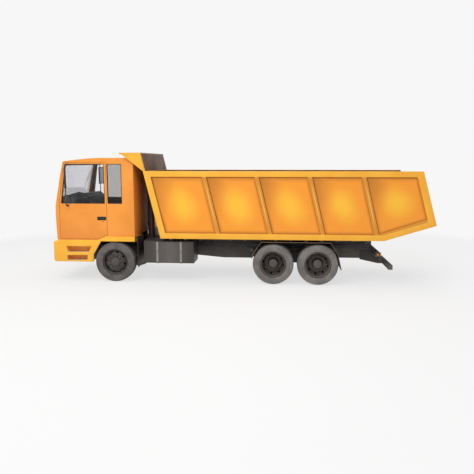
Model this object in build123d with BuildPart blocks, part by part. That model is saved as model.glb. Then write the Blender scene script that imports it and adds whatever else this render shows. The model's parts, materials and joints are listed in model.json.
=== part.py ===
"""Three-axle tipper lorry with a scow-ended body, built from its real pieces.

Millimetres. X points forward, Y to the lorry's left, Z up. The origin is on the
ground, under the middle of the lorry's box. Each piece is one STEP file.
"""

from build123d import *
from math import atan2, cos, degrees, hypot, radians, sin, tan
import os

os.makedirs("parts", exist_ok=True)

# ---------------------------------------------------------------- clearances
SEAT = 0.3  # between pieces that rest on each other
PIN_CLEAR = 0.8  # radial, round a pin or shaft
MOVING_CLEAR = 8.0  # round a door or other swinging piece
SIDES = (("left", 1), ("right", -1))

# ---------------------------------------------------------------- whole lorry
FRONT_X = 4820.0  # bumper's front face
TAIL_X = -4820.0  # tip of the body's upswept tail

# ---------------------------------------------------------------- wheels
TYRE_R = 520.0
TYRE_HALF = 148.0  # half the section width
TREAD_HALF = 130.0
TREAD_EDGE_R = 508.0
SIDEWALL_R = 408.0  # where the sidewall is widest
BEAD_R = 300.0
RIM_HALF = 114.0
RIM_LIP = 12.0
RIM_LIP_R = 324.0
RIM_WALL = 14.0
DISC_T = 14.0
HAND_HOLES = 8
HAND_HOLE_R = 27.0
HAND_HOLE_PCR = 252.0
AXLE_Z = TYRE_R
FRONT_AXLE_X = 3210.0
FRONT_WHEEL_Y = 1085.0
BOGIE_X = -1425.0
BOGIE_HALF = 560.0
DUAL_OUTER_Y = 1112.0
DUAL_SPACING = 335.0
DRUM_R = 205.0
HUB_R = 126.0
SPINDLE_R = 58.0

# ---------------------------------------------------------------- frame
RAIL_OUT = 430.0  # outer face of a rail
RAIL_W = 80.0
RAIL_T = 8.0
RAIL_TOP = 840.0
RAIL_LOW_FRONT = 600.0
RAIL_LOW_MID = 540.0
RAIL_LOW_BOGIE = 665.0
RAIL_LOW_TAIL = 575.0
BUMPER_WALL = 60.0
RAIL_FRONT_X = FRONT_X - BUMPER_WALL - SEAT
RAIL_END_X = -3415.0
SUBFRAME_TOP = 1000.0
SUBFRAME_FRONT_X = 2610.0

# ---------------------------------------------------------------- body
BED_HALF = 1300.0
BED_WALL = 60.0
BED_RAIL = 140.0  # depth of the side's surrounding rails
PANEL_RECESS = 40.0
BED_BOTTOM = 1156.0
BED_TOP = 2856.0
BED_FRONT_LOW_X = 1991.0
BED_FRONT_TOP_X = 2408.0
BED_KINK_X = -3575.0
TAIL_Z = 1544.0
BED_REAR_TOP_X = -4454.0
FLOOR_T = 40.0
RIB_W = 96.0
RIBS_AT_TOP = (871.0, -436.0, -1743.0, -3050.0)  # X of each rib's middle
HEADBOARD_T = 60.0
CANOPY_Z = 3312.0
CANOPY_TIP_X = 3000.0
CANOPY_T = 16.0
TIP_PIVOT_X = -3330.0
TIP_PIVOT_Z = 940.0
TIP_PIN_R = 35.0
TIP_MAX = 45.0

# ---------------------------------------------------------------- cab
CAB_HALF = 1220.0
CAB_WALL = 60.0
CAB_REAR_X = 2675.0
CAB_SILL_Z = 1092.0
CAB_ARCH_Z = 1060.0
CAB_FLOOR_Z = 1190.0
CAB_FLOOR_T = 50.0
CAB_ROOF_Z = 3180.0
CAB_ROOF_T = 50.0
CAB_ARCH_X = 3560.0  # where the wheel arch meets the bumper's wing
ARCH_END_X = CAB_ARCH_X + 42.0
# the cab's nose in side view, from the sill to the roof: X, Z
NOSE = ((4719.0, CAB_SILL_Z), (4739.0, 1767.0), (4729.0, 1976.0), (4588.0, 2698.0), (4497.0, 3092.0))
ROOF_BEND_X = 3720.0
SCREEN_LOW_Z = 2110.0
SCREEN_TOP_Z = 3010.0
SCREEN_HALF = 1085.0
GLASS_T = 8.0
DOOR_FRONT_X = 4628.0
DOOR_REAR_X = 3392.0
DOOR_LOW_Z = 1116.0
DOOR_TOP_Z = 3054.0
DOOR_TOP_FRONT_X = 4470.0
WAIST_Z = 2030.0
WINDOW_TOP_Z = 3028.0
HINGE_X = 4640.0
HINGE_Y = 1228.0


def side_plane(y):
    """Side view at this Y: local x is forward, local y is up, extruding goes right."""
    return Plane.XZ.offset(-y)


def cross_plane(x):
    """Cross-section at this X: local x is to the left, local y is up."""
    return Plane(origin=(x, 0, 0), x_dir=(0, 1, 0), z_dir=(1, 0, 0))


def save(shape, name):
    """Labels a finished piece and writes its STEP file."""
    shape.label = name
    export_step(shape, f"parts/{name}.step")


def nose_x(z):
    """X of the cab's nose at this height."""
    for (x0, z0), (x1, z1) in zip(NOSE, NOSE[1:]):
        if z <= z1:
            return x0 + (x1 - x0) * (z - z0) / (z1 - z0)
    return NOSE[-1][0]


def headboard_x(z):
    """X of the headboard's front face at this height."""
    rake = (BED_FRONT_TOP_X - BED_FRONT_LOW_X) / (BED_TOP - BED_BOTTOM)
    return BED_FRONT_LOW_X + rake * (z - BED_BOTTOM)


# ================================================================ wheels
def tyre_solid(x, y, sign):
    """One tyre, revolved about its axle; sign is the lorry's side."""
    section = Plane(origin=(x, y, AXLE_Z), x_dir=(0, sign, 0), z_dir=(sign, 0, 0))
    with BuildPart() as tyre:
        with BuildSketch(section):
            with BuildLine():
                Polyline((0, BEAD_R), (RIM_HALF - SEAT, BEAD_R), (RIM_HALF - SEAT, RIM_LIP_R + SEAT))
                Line((RIM_HALF - SEAT, RIM_LIP_R + SEAT), (RIM_HALF + RIM_LIP, RIM_LIP_R + SEAT))
                ThreePointArc((RIM_HALF + RIM_LIP, RIM_LIP_R + SEAT), (TYRE_HALF, SIDEWALL_R), (TREAD_HALF, TREAD_EDGE_R))
                ThreePointArc((TREAD_HALF, TREAD_EDGE_R), (TREAD_HALF * 0.6, TYRE_R - 3.5), (0, TYRE_R))
                Line((0, TYRE_R), (0, BEAD_R))
            make_face()
            mirror(about=Plane.YZ)
        revolve(axis=Axis((x, y, AXLE_Z), (0, 1, 0)))
    return tyre.part


def ring(section, axis, points):
    """A revolved piece from its half section: distance out along the axle, radius."""
    with BuildPart() as turned:
        with BuildSketch(section):
            Polygon(*points)
        revolve(axis=axis)
    return turned.part


def rim_points():
    """Half section of the rim: a barrel with a lip at each edge."""
    inner = BEAD_R - RIM_WALL
    edge = RIM_HALF + RIM_LIP
    return (
        (-edge, inner), (edge, inner), (edge, RIM_LIP_R), (RIM_HALF, RIM_LIP_R), (RIM_HALF, BEAD_R - SEAT),
        (-RIM_HALF, BEAD_R - SEAT), (-RIM_HALF, RIM_LIP_R), (-edge, RIM_LIP_R),
    )


# Wheel discs: distance out from the wheel's middle, radius
DISC_FRONT = ((50.0, BEAD_R - 8), (86.0, 256.0), (104.0, 214.0), (108.0, 190.0), (108.0, 60.0))
DISC_DUAL = ((44.0, BEAD_R - 8), (6.0, 272.0), (-96.0, 236.0), (-146.0, 204.0), (-146.0, 60.0))


def disc_points(profile):
    """Closed half section of a pressed disc."""
    return profile + tuple((u - DISC_T, r) for u, r in reversed(profile))


def wheel_plane(x, y, sign):
    """Section plane of a wheel: local x points out of the lorry, local y is up."""
    return Plane(origin=(x, y, AXLE_Z), x_dir=(0, sign, 0), z_dir=(sign, 0, 0))


def hand_hole_cutter(x, y, sign, reach):
    """The ring of round hand holes, as tools along the axle."""
    start = Plane(origin=(x, y - sign * reach, AXLE_Z), x_dir=(1, 0, 0), z_dir=(0, sign, 0))
    with BuildPart() as holes:
        with BuildSketch(start):
            with PolarLocations(HAND_HOLE_PCR, HAND_HOLES, start_angle=11.0):
                Circle(HAND_HOLE_R)
        extrude(amount=2 * reach)
    return holes.part


def steer_wheel(x, y, sign):
    """Front wheel: rim, outward disc, drum and hub, as one turning piece."""
    section = wheel_plane(x, y, sign)
    axis = Axis((x, y, AXLE_Z), (0, 1, 0))
    with BuildPart() as wheel:
        with BuildSketch(section):
            Polygon(*rim_points())
        revolve(axis=axis)
        with BuildSketch(section):
            Polygon(*disc_points(DISC_FRONT))
        revolve(axis=axis)
        add(hand_hole_cutter(x, y, sign, 130.0), mode=Mode.SUBTRACT)
        with BuildSketch(section):
            Polygon(*STEER_HUB)
        revolve(axis=axis)
    return wheel.part


DRUM_IN_FRONT = -90.0
SPINDLE_END_FRONT = 60.0
BORE = SPINDLE_R + PIN_CLEAR
# Front hub and drum: distance out, radius
STEER_HUB = (
    (DRUM_IN_FRONT, BORE), (DRUM_IN_FRONT, DRUM_R), (94.0, DRUM_R), (94.0, 186.0), (112.0, 186.0), (112.0, 100.0),
    (132.0, 92.0), (148.0, 60.0), (148.0, 0.0), (SPINDLE_END_FRONT + 1.0, 0.0), (SPINDLE_END_FRONT + 1.0, BORE),
)
DRUM_IN_DUAL = -330.0
SPINDLE_END_DUAL = -40.0
DUAL_HUB = (
    (DRUM_IN_DUAL, BORE), (DRUM_IN_DUAL, DRUM_R), (-174.0, DRUM_R), (-174.0, 186.0), (-142.0, 186.0),
    (-142.0, HUB_R + 8), (-128.0, HUB_R), (-14.0, HUB_R - 4), (10.0, 96.0), (16.0, 50.0), (16.0, 0.0),
    (SPINDLE_END_DUAL + 1.0, 0.0), (SPINDLE_END_DUAL + 1.0, BORE),
)


def dual_wheel(x, y, sign):
    """Twin rear wheel: two rims on one hub and drum."""
    section = wheel_plane(x, y, sign)
    inner_section = wheel_plane(x, y - sign * DUAL_SPACING, sign)
    axis = Axis((x, y, AXLE_Z), (0, 1, 0))
    inner_disc = tuple((-u, r) for u, r in DISC_DUAL)
    with BuildPart() as wheel:
        with BuildSketch(section):
            Polygon(*rim_points())
            Polygon(*disc_points(DISC_DUAL))
        revolve(axis=axis)
        with BuildSketch(inner_section):
            Polygon(*rim_points())
            Polygon(*(inner_disc + tuple((u + DISC_T, r) for u, r in reversed(inner_disc))))
        revolve(axis=axis)
        add(hand_hole_cutter(x, y, sign, 420.0), mode=Mode.SUBTRACT)
        with BuildSketch(section):
            Polygon(*DUAL_HUB)
        revolve(axis=axis)
    return wheel.part


for side, sign in SIDES:
    y = sign * FRONT_WHEEL_Y
    save(tyre_solid(FRONT_AXLE_X, y, sign), f"tyre_front_{side}")
    save(steer_wheel(FRONT_AXLE_X, y, sign), f"wheel_front_{side}")
    y = sign * DUAL_OUTER_Y
    for row, x in (("middle", BOGIE_X + BOGIE_HALF), ("rear", BOGIE_X - BOGIE_HALF)):
        with BuildPart() as pair:
            add(tyre_solid(x, y, sign))
            add(tyre_solid(x, y - sign * DUAL_SPACING, sign))
        save(pair.part, f"tyres_{row}_{side}")
        save(dual_wheel(x, y, sign), f"wheels_{row}_{side}")

# ================================================================ steering
KINGPIN_Y = 930.0
EYE_R = 42.0
EYE_LOW = 470.0
EYE_TOP = 570.0
KINGPIN_R = 22.0
FORK_T = 50.0
STEER_ARM = 170.0
ARM_T = 24.0
BALL_R = 28.0
STUD_R = 10.0
TIE_ROD_R = 18.0
BEAM_LOW = 370.0
BEAM_TOP = 450.0
BEAM_W = 90.0
FORK_WEB_IN = KINGPIN_Y + EYE_R + 6.0
BACKPLATE_OUT = FRONT_WHEEL_Y + DRUM_IN_FRONT - 6.0
arm_low = EYE_LOW - SEAT - FORK_T

with BuildPart() as front_axle:
    with BuildSketch(cross_plane(FRONT_AXLE_X - BEAM_W / 2)):
        half_beam = ((0, BEAM_LOW), (690, BEAM_LOW), (860, EYE_LOW), (KINGPIN_Y, EYE_LOW),
                     (KINGPIN_Y, EYE_TOP), (860, EYE_TOP), (700, BEAM_TOP), (0, BEAM_TOP))
        Polygon(*half_beam)
        mirror(about=Plane.YZ)
    extrude(amount=BEAM_W)
    with BuildSketch(Plane.XY.offset(EYE_LOW)):
        with Locations((FRONT_AXLE_X, KINGPIN_Y), (FRONT_AXLE_X, -KINGPIN_Y)):
            Circle(EYE_R)
    extrude(amount=EYE_TOP - EYE_LOW)
    # trim the beam's ends to the eye's round, then bore for the kingpin
    with BuildSketch(Plane.XY.offset(EYE_LOW)):
        with Locations((FRONT_AXLE_X, KINGPIN_Y + EYE_R), (FRONT_AXLE_X, -KINGPIN_Y - EYE_R)):
            Rectangle(2 * BEAM_W, 2 * EYE_R)
        with Locations((FRONT_AXLE_X, KINGPIN_Y), (FRONT_AXLE_X, -KINGPIN_Y)):
            Circle(EYE_R, mode=Mode.SUBTRACT)
    extrude(amount=EYE_TOP - EYE_LOW, mode=Mode.SUBTRACT)
    with BuildSketch(Plane.XY.offset(EYE_LOW)):
        with Locations((FRONT_AXLE_X, KINGPIN_Y), (FRONT_AXLE_X, -KINGPIN_Y)):
            Circle(KINGPIN_R + PIN_CLEAR)
    extrude(amount=EYE_TOP - EYE_LOW, mode=Mode.SUBTRACT)
save(front_axle.part, "front_axle")

for side, sign in SIDES:
    pin = (FRONT_AXLE_X, sign * KINGPIN_Y)
    arm_x = FRONT_AXLE_X - STEER_ARM
    web_mid = sign * (FORK_WEB_IN + BACKPLATE_OUT) / 2
    with BuildPart() as knuckle:
        # fork arms over and under the beam's eye, the lower one drawn back as the steering arm
        for low in (EYE_TOP + SEAT, arm_low):
            with BuildSketch(Plane.XY.offset(low)):
                with Locations(pin):
                    Circle(EYE_R)
                with Locations((FRONT_AXLE_X, (pin[1] + sign * BACKPLATE_OUT) / 2)):
                    Rectangle(2 * EYE_R, BACKPLATE_OUT - KINGPIN_Y)
            extrude(amount=FORK_T)
        with BuildSketch(Plane.XY.offset(arm_low)):
            with Locations((arm_x + STEER_ARM / 2, pin[1])):
                Rectangle(STEER_ARM, 2 * BALL_R - 10)
            with Locations((arm_x, pin[1])):
                Circle(BALL_R)
        extrude(amount=ARM_T)
        with BuildSketch(Plane.XY.offset(arm_low)):
            with Locations((FRONT_AXLE_X, web_mid)):
                Rectangle(2 * EYE_R + 40, BACKPLATE_OUT - FORK_WEB_IN)
        extrude(amount=EYE_TOP + SEAT + FORK_T - arm_low)
        # kingpin, ball stud, dust plate and spindle
        with BuildSketch(Plane.XY.offset(arm_low)):
            with Locations(pin):
                Circle(KINGPIN_R)
        extrude(amount=EYE_TOP + SEAT + FORK_T - arm_low)
        with BuildSketch(Plane.XY.offset(arm_low)):
            with Locations((arm_x, pin[1])):
                Circle(STUD_R)
        extrude(amount=-46)
        hub_face = Plane(origin=(FRONT_AXLE_X, sign * FORK_WEB_IN, AXLE_Z), x_dir=(1, 0, 0), z_dir=(0, sign, 0))
        with BuildSketch(hub_face.offset(BACKPLATE_OUT - FORK_WEB_IN - 6)):
            Circle(DRUM_R - 6)
        extrude(amount=6)
        with BuildSketch(hub_face):
            Circle(SPINDLE_R)
        extrude(amount=FRONT_WHEEL_Y + SPINDLE_END_FRONT - FORK_WEB_IN)
    save(knuckle.part, f"knuckle_{side}")

with BuildPart() as tie_rod:
    rod_z = arm_low - SEAT - BALL_R + 5
    with BuildSketch(Plane.XZ.offset(-(KINGPIN_Y - BALL_R + 4))):
        with Locations((FRONT_AXLE_X - STEER_ARM, rod_z)):
            Circle(TIE_ROD_R)
    extrude(amount=2 * (KINGPIN_Y - BALL_R + 4))
    for y in (KINGPIN_Y, -KINGPIN_Y):
        with BuildSketch(Plane.XY.offset(arm_low - SEAT)):
            with Locations((FRONT_AXLE_X - STEER_ARM, y)):
                Circle(BALL_R)
        extrude(amount=-2 * TIE_ROD_R - 6)
    for y in (KINGPIN_Y, -KINGPIN_Y):
        with BuildSketch(Plane.XY.offset(arm_low - SEAT)):
            with Locations((FRONT_AXLE_X - STEER_ARM, y)):
                Circle(STUD_R + PIN_CLEAR)
        extrude(amount=-2 * TIE_ROD_R - 6, mode=Mode.SUBTRACT)
save(tie_rod.part, "tie_rod")

# ================================================================ frame
# lower edge of a rail, from the nose to the tail: X, Z
RAIL_LOWER = (
    (RAIL_FRONT_X, RAIL_LOW_FRONT), (1142.0, RAIL_LOW_FRONT), (469.0, RAIL_LOW_MID), (-290.0, RAIL_LOW_MID),
    (-440.0, RAIL_LOW_BOGIE), (-2420.0, RAIL_LOW_BOGIE), (-2570.0, RAIL_LOW_TAIL), (-3328.0, RAIL_LOW_TAIL),
    (-3392.0, RAIL_LOW_BOGIE),
)
RAIL_SIDE = RAIL_LOWER + ((RAIL_END_X, RAIL_TOP), (RAIL_FRONT_X, RAIL_TOP))
# cross-members between the rails: X, low Z
CROSS_MEMBERS = ((4700.0, 640.0), (1950.0, 700.0), (900.0, 700.0), (-250.0, 700.0), (-1425.0, 690.0), (-2650.0, 640.0))
CROSS_T = 60.0
RAIL_IN = RAIL_OUT - RAIL_W
HITCH_PLATE_T = 20.0
HITCH_Z = 705.0
HITCH_SPACING_Y = 160.0
HITCH_SPACING_Z = 100.0
HITCH_HOLE_R = 10.5

with BuildPart() as ladder_frame:
    for side, sign in SIDES:
        outer_face = RAIL_OUT if sign > 0 else -RAIL_IN
        with BuildSketch(side_plane(outer_face)):
            Polygon(*RAIL_SIDE)
        extrude(amount=RAIL_W)
        # hollow the channel from its inner side
        open_face = RAIL_OUT - RAIL_T if sign > 0 else -RAIL_IN
        with BuildSketch(side_plane(open_face)):
            Polygon(*RAIL_SIDE)
            offset(amount=-RAIL_T, kind=Kind.INTERSECTION, mode=Mode.REPLACE)
        extrude(amount=RAIL_W - RAIL_T, mode=Mode.SUBTRACT)
    for x, low in CROSS_MEMBERS:
        with BuildSketch(cross_plane(x - CROSS_T / 2)):
            with Locations((0, (low + RAIL_TOP - RAIL_T) / 2)):
                Rectangle(2 * (RAIL_OUT - RAIL_T), RAIL_TOP - RAIL_T - low)
        extrude(amount=CROSS_T)
    # drawbar plate at the frame's end, with its bolt holes
    with BuildSketch(cross_plane(RAIL_END_X + 22)):
        with Locations((0, HITCH_Z)):
            Rectangle(2 * (RAIL_OUT - RAIL_T), 240)
            with GridLocations(HITCH_SPACING_Y, HITCH_SPACING_Z, 2, 2):
                Circle(HITCH_HOLE_R, mode=Mode.SUBTRACT)
    extrude(amount=HITCH_PLATE_T)
save(ladder_frame.part, "ladder_frame")

HOIST_X = 2530.0
HOIST_Z = 1000.0
HOIST_PIN_R = 25.0
HOIST_BOSS_R = 50.0
HOIST_BOSS_HALF = 120.0
HOIST_CHEEK_T = 20.0
STAND_W = 80.0
with BuildPart() as tipper_subframe:
    for side, sign in SIDES:
        outer_face = RAIL_OUT if sign > 0 else -RAIL_IN
        with BuildSketch(side_plane(outer_face)):
            Polygon((SUBFRAME_FRONT_X, RAIL_TOP + SEAT), (SUBFRAME_FRONT_X, SUBFRAME_TOP), (RAIL_END_X, SUBFRAME_TOP),
                    (RAIL_END_X, RAIL_TOP + SEAT))
        extrude(amount=RAIL_W)
    for x in (HOIST_X, 1400.0, 300.0, -700.0, -1700.0, -2700.0):
        with BuildSketch(cross_plane(x - STAND_W / 2)):
            with Locations((0, 885.0)):
                Rectangle(2 * RAIL_IN + 20, 60)
        extrude(amount=STAND_W)
    # cheeks and pin under the hoist
    for y in (HOIST_BOSS_HALF + 5 + HOIST_CHEEK_T, -HOIST_BOSS_HALF - 5):
        with BuildSketch(side_plane(y)):
            Polygon((HOIST_X - 70, 885), (HOIST_X + 70, 885), (HOIST_X + 45, HOIST_Z + 45), (HOIST_X - 45, HOIST_Z + 45))
        extrude(amount=HOIST_CHEEK_T)
    with BuildSketch(side_plane(HOIST_BOSS_HALF + 5 + HOIST_CHEEK_T)):
        with Locations((HOIST_X, HOIST_Z)):
            Circle(HOIST_PIN_R)
    extrude(amount=2 * (HOIST_BOSS_HALF + 5 + HOIST_CHEEK_T))
    # the tipping shaft across the frame's end
    with BuildSketch(side_plane(RAIL_OUT + 46)):
        with Locations((TIP_PIVOT_X, TIP_PIVOT_Z)):
            Circle(TIP_PIN_R)
    extrude(amount=2 * (RAIL_OUT + 46))
save(tipper_subframe.part, "tipper_subframe")

# ================================================================ driveline
with BuildPart() as engine:
    with BuildSketch(side_plane(290)):
        Polygon((4250, 640), (4250, 1140), (3120, 1140), (2990, 900), (2990, 640))
    extrude(amount=580)
    with BuildSketch(side_plane(190)):
        Polygon((2995, 560), (2995, 820), (2250, 820), (2120, 700), (2120, 600), (2250, 560))
    extrude(amount=380)
    # engine mounts out to the rails
    for x in (4100.0, 3200.0):
        with BuildSketch(cross_plane(x)):
            with Locations((0, 800)):
                Rectangle(2 * (RAIL_OUT - RAIL_T - SEAT), 50)
        extrude(amount=80)
save(engine.part, "engine_and_gearbox")

DIFF_R = 190.0
AXLE_TUBE_H = 62.0
SPRING_Y = 500.0
SPRING_W = 84.0
AXLE_TOP = AXLE_Z + AXLE_TUBE_H
spindle_in = DUAL_OUTER_Y + DRUM_IN_DUAL - 6.0
with BuildPart() as rear_axles:
    for x in (BOGIE_X + BOGIE_HALF, BOGIE_X - BOGIE_HALF):
        with BuildSketch(side_plane(spindle_in)):
            with Locations((x, AXLE_Z)):
                RectangleRounded(2 * AXLE_TUBE_H, 2 * AXLE_TUBE_H, 24)
        extrude(amount=2 * spindle_in)
        with BuildSketch(side_plane(DUAL_OUTER_Y + SPINDLE_END_DUAL)):
            with Locations((x, AXLE_Z)):
                Circle(SPINDLE_R)
        extrude(amount=2 * (DUAL_OUTER_Y + SPINDLE_END_DUAL))
        for y in (spindle_in, -spindle_in + 8):
            with BuildSketch(side_plane(y)):
                with Locations((x, AXLE_Z)):
                    Circle(DRUM_R - 6)
            extrude(amount=8)
        # banjo housing
        with BuildSketch(cross_plane(x)):
            with BuildLine():
                Line((-260, AXLE_Z), (260, AXLE_Z))
                ThreePointArc((260, AXLE_Z), (0, AXLE_Z + DIFF_R), (-260, AXLE_Z))
            make_face()
        revolve(axis=Axis((x, 0, AXLE_Z), (0, 1, 0)))
save(rear_axles.part, "rear_axles")

with BuildPart() as propshafts:
    gearbox_end = (2120.0 - 10 * SEAT, 640.0)
    first_in = (BOGIE_X + BOGIE_HALF + DIFF_R + SEAT, AXLE_Z + 10)
    second_in = (BOGIE_X - BOGIE_HALF + DIFF_R + SEAT, AXLE_Z)
    first_out = (BOGIE_X + BOGIE_HALF - DIFF_R - SEAT, AXLE_Z)
    for (xa, za), (xb, zb) in ((gearbox_end, first_in), (first_out, second_in)):
        run = hypot(xb - xa, zb - za)
        along = Plane(origin=(xa, 0, za), x_dir=(0, 1, 0), z_dir=(xb - xa, 0, zb - za))
        with BuildSketch(along):
            Circle(48)
        extrude(amount=run)
        for start in (0.0, run - 90):
            with BuildSketch(along.offset(start)):
                Circle(72)
            extrude(amount=90)
save(propshafts.part, "propshafts")

# ================================================================ springs
FRONT_EYE_Z = 556.0
FRONT_SPRING_Y = 390.0
FRONT_SPRING_HALF = 900.0
with BuildPart() as leaf_springs:
    for y in (FRONT_SPRING_Y + SPRING_W / 2, -FRONT_SPRING_Y + SPRING_W / 2):
        with BuildSketch(side_plane(y)):
            with BuildLine():
                left = FRONT_AXLE_X - FRONT_SPRING_HALF
                right = FRONT_AXLE_X + FRONT_SPRING_HALF
                ThreePointArc((left, FRONT_EYE_Z), (FRONT_AXLE_X, BEAM_TOP + 60), (right, FRONT_EYE_Z))
                Line((right, FRONT_EYE_Z), (right, FRONT_EYE_Z - 16))
                Line((right, FRONT_EYE_Z - 16), (FRONT_AXLE_X + 120, BEAM_TOP + SEAT))
                Line((FRONT_AXLE_X + 120, BEAM_TOP + SEAT), (FRONT_AXLE_X - 120, BEAM_TOP + SEAT))
                Line((FRONT_AXLE_X - 120, BEAM_TOP + SEAT), (left, FRONT_EYE_Z - 16))
                Line((left, FRONT_EYE_Z - 16), (left, FRONT_EYE_Z))
            make_face()
            with Locations((left, FRONT_EYE_Z), (right, FRONT_EYE_Z)):
                Circle(30)
            for x in (left, right):
                Polygon((x - 60, RAIL_LOW_FRONT - SEAT), (x + 60, RAIL_LOW_FRONT - SEAT), (x + 30, FRONT_EYE_Z), (x - 30, FRONT_EYE_Z))
        extrude(amount=SPRING_W)
    # bogie packs, each upside down on its saddle
    for side, sign in SIDES:
        y = sign * SPRING_Y + SPRING_W / 2
        with BuildSketch(side_plane(y)):
            with BuildLine():
                fore = BOGIE_X + BOGIE_HALF + 70
                aft = BOGIE_X - BOGIE_HALF - 70
                seat_z = AXLE_TOP + SEAT
                ThreePointArc((aft, seat_z + 24), (BOGIE_X, seat_z + 160), (fore, seat_z + 24))
                Line((fore, seat_z + 24), (fore, seat_z))
                Line((fore, seat_z), (fore - 140, seat_z))
                Line((fore - 140, seat_z), (BOGIE_X + 110, seat_z + 20))
                Line((BOGIE_X + 110, seat_z + 20), (BOGIE_X - 110, seat_z + 20))
                Line((BOGIE_X - 110, seat_z + 20), (aft + 140, seat_z))
                Line((aft + 140, seat_z), (aft, seat_z))
                Line((aft, seat_z), (aft, seat_z + 24))
            make_face()
        extrude(amount=SPRING_W)
        # saddle under the pack, and its bracket in to the rail
        with BuildSketch(side_plane(y)):
            Polygon((BOGIE_X - 120, 450), (BOGIE_X + 120, 450), (BOGIE_X + 150, seat_z + 22), (BOGIE_X - 150, seat_z + 22))
        extrude(amount=SPRING_W)
        bracket_face = RAIL_OUT + SEAT if sign > 0 else -SPRING_Y + SPRING_W / 2
        bracket_top = SPRING_Y - SPRING_W / 2 if sign > 0 else -RAIL_OUT - SEAT
        with BuildSketch(side_plane(bracket_top)):
            Polygon((BOGIE_X - 110, 470), (BOGIE_X + 110, 470), (BOGIE_X + 160, 830), (BOGIE_X - 160, 830))
        extrude(amount=SPRING_Y - SPRING_W / 2 - RAIL_OUT - SEAT)
save(leaf_springs.part, "leaf_springs")

# ================================================================ tanks and boxes beside the frame
TANK_FRONT_X = 2447.0
TANK_REAR_X = 1164.0
TANK_LOW = 500.0
TANK_TOP = 1095.0
TANK_OUT = 1200.0
TANK_IN = 490.0
TANK_ROUND = 55.0
STRAP_W = 52.0
STRAP_T = 8.0
STRAPS_X = (2099.0, 1491.0)
with BuildPart() as fuel_tank:
    with BuildSketch(cross_plane(TANK_REAR_X)):
        with Locations(((TANK_OUT + TANK_IN) / 2, (TANK_TOP + TANK_LOW) / 2)):
            RectangleRounded(TANK_OUT - TANK_IN, TANK_TOP - TANK_LOW, TANK_ROUND)
    extrude(amount=TANK_FRONT_X - TANK_REAR_X)
    for x in STRAPS_X:
        with BuildSketch(cross_plane(x - STRAP_W / 2)):
            with Locations(((TANK_OUT + TANK_IN) / 2, (TANK_TOP + TANK_LOW) / 2)):
                RectangleRounded(TANK_OUT - TANK_IN + 2 * STRAP_T, TANK_TOP - TANK_LOW + 2 * STRAP_T, TANK_ROUND + STRAP_T)
            with Locations(((TANK_IN + RAIL_OUT + SEAT) / 2, 730)):
                Rectangle(TANK_IN - RAIL_OUT - SEAT, 180)
        extrude(amount=STRAP_W)
save(fuel_tank.part, "fuel_tank")

# boxes on the right: name, front X, rear X, low Z, top Z, outer Y
RIGHT_BOXES = (
    ("battery_box", 2447.0, 1900.0, 560.0, 1010.0, 1160.0),
    ("hydraulic_tank", 1820.0, 1164.0, 520.0, 1095.0, 1000.0),
)
for name, front, rear, low, top, out in RIGHT_BOXES:
    with BuildPart() as box:
        with BuildSketch(cross_plane(rear)):
            with Locations((-(out + TANK_IN) / 2, (low + top) / 2)):
                RectangleRounded(out - TANK_IN, top - low, 30)
        extrude(amount=front - rear)
        for x in (rear + 90, front - 90 - STRAP_W):
            with BuildSketch(cross_plane(x)):
                with Locations((-(TANK_IN + 40 + RAIL_OUT + SEAT) / 2, 730)):
                    Rectangle(TANK_IN + 40 - RAIL_OUT - SEAT, 160)
            extrude(amount=STRAP_W)
    save(box.part, name)

with BuildPart() as exhaust:
    with BuildSketch(cross_plane(250)):
        with Locations((-700, 760)):
            Circle(140)
    extrude(amount=800)
    for x in (350.0, 900.0):
        with BuildSketch(cross_plane(x)):
            with Locations((-(RAIL_OUT + SEAT + 600) / 2, 760)):
                Rectangle(600 - RAIL_OUT - SEAT, 60)
        extrude(amount=50)
    with BuildSketch(cross_plane(60)):
        with Locations((-700, 760)):
            Circle(45)
    extrude(amount=200)
save(exhaust.part, "exhaust_silencer")

# ================================================================ mudguards
GUARD_T = 10.0
GUARD_IN = 640.0
GUARD_OUT = 1272.0
# outer edge of a rear mudguard from front to rear: X, Z
GUARD_LINE = ((-322.0, 665.0), (-367.0, 811.0), (-566.0, 1090.0), (-2285.0, 1090.0), (-2472.0, 808.0), (-2567.0, 402.0))
GUARD_STAYS = ((-470.0, 920.0), (BOGIE_X, 1063.0), (-2368.0, 930.0))
FLAP_X = 2600.0
FLAP_T = 12.0
FLAP_LOW = 395.0
with BuildPart() as mudguards:
    for side, sign in SIDES:
        with BuildSketch(side_plane(GUARD_OUT if sign > 0 else -GUARD_IN)):
            with BuildLine():
                line = Polyline(*GUARD_LINE)
                offset(line, amount=GUARD_T, side=Side.LEFT, kind=Kind.INTERSECTION)
            make_face()
        extrude(amount=GUARD_OUT - GUARD_IN)
        for x, z in GUARD_STAYS:
            stay_from = GUARD_OUT - 60 if sign > 0 else -RAIL_OUT - SEAT
            with BuildSketch(side_plane(stay_from)):
                with Locations((x, z)):
                    Circle(18)
            extrude(amount=GUARD_OUT - 60 - RAIL_OUT - SEAT)
        # flap behind the steered wheel, hung from the cab's lower rear edge
        with BuildSketch(side_plane(CAB_HALF - 4 if sign > 0 else -GUARD_IN)):
            Polygon((FLAP_X, FLAP_LOW), (FLAP_X + FLAP_T, FLAP_LOW), (FLAP_X + FLAP_T, 1150), (CAB_REAR_X - SEAT, 1150),
                    (CAB_REAR_X - SEAT, 1175), (FLAP_X, 1175))
        extrude(amount=CAB_HALF - 4 - GUARD_IN)
save(mudguards.part, "mudguards")

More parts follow.
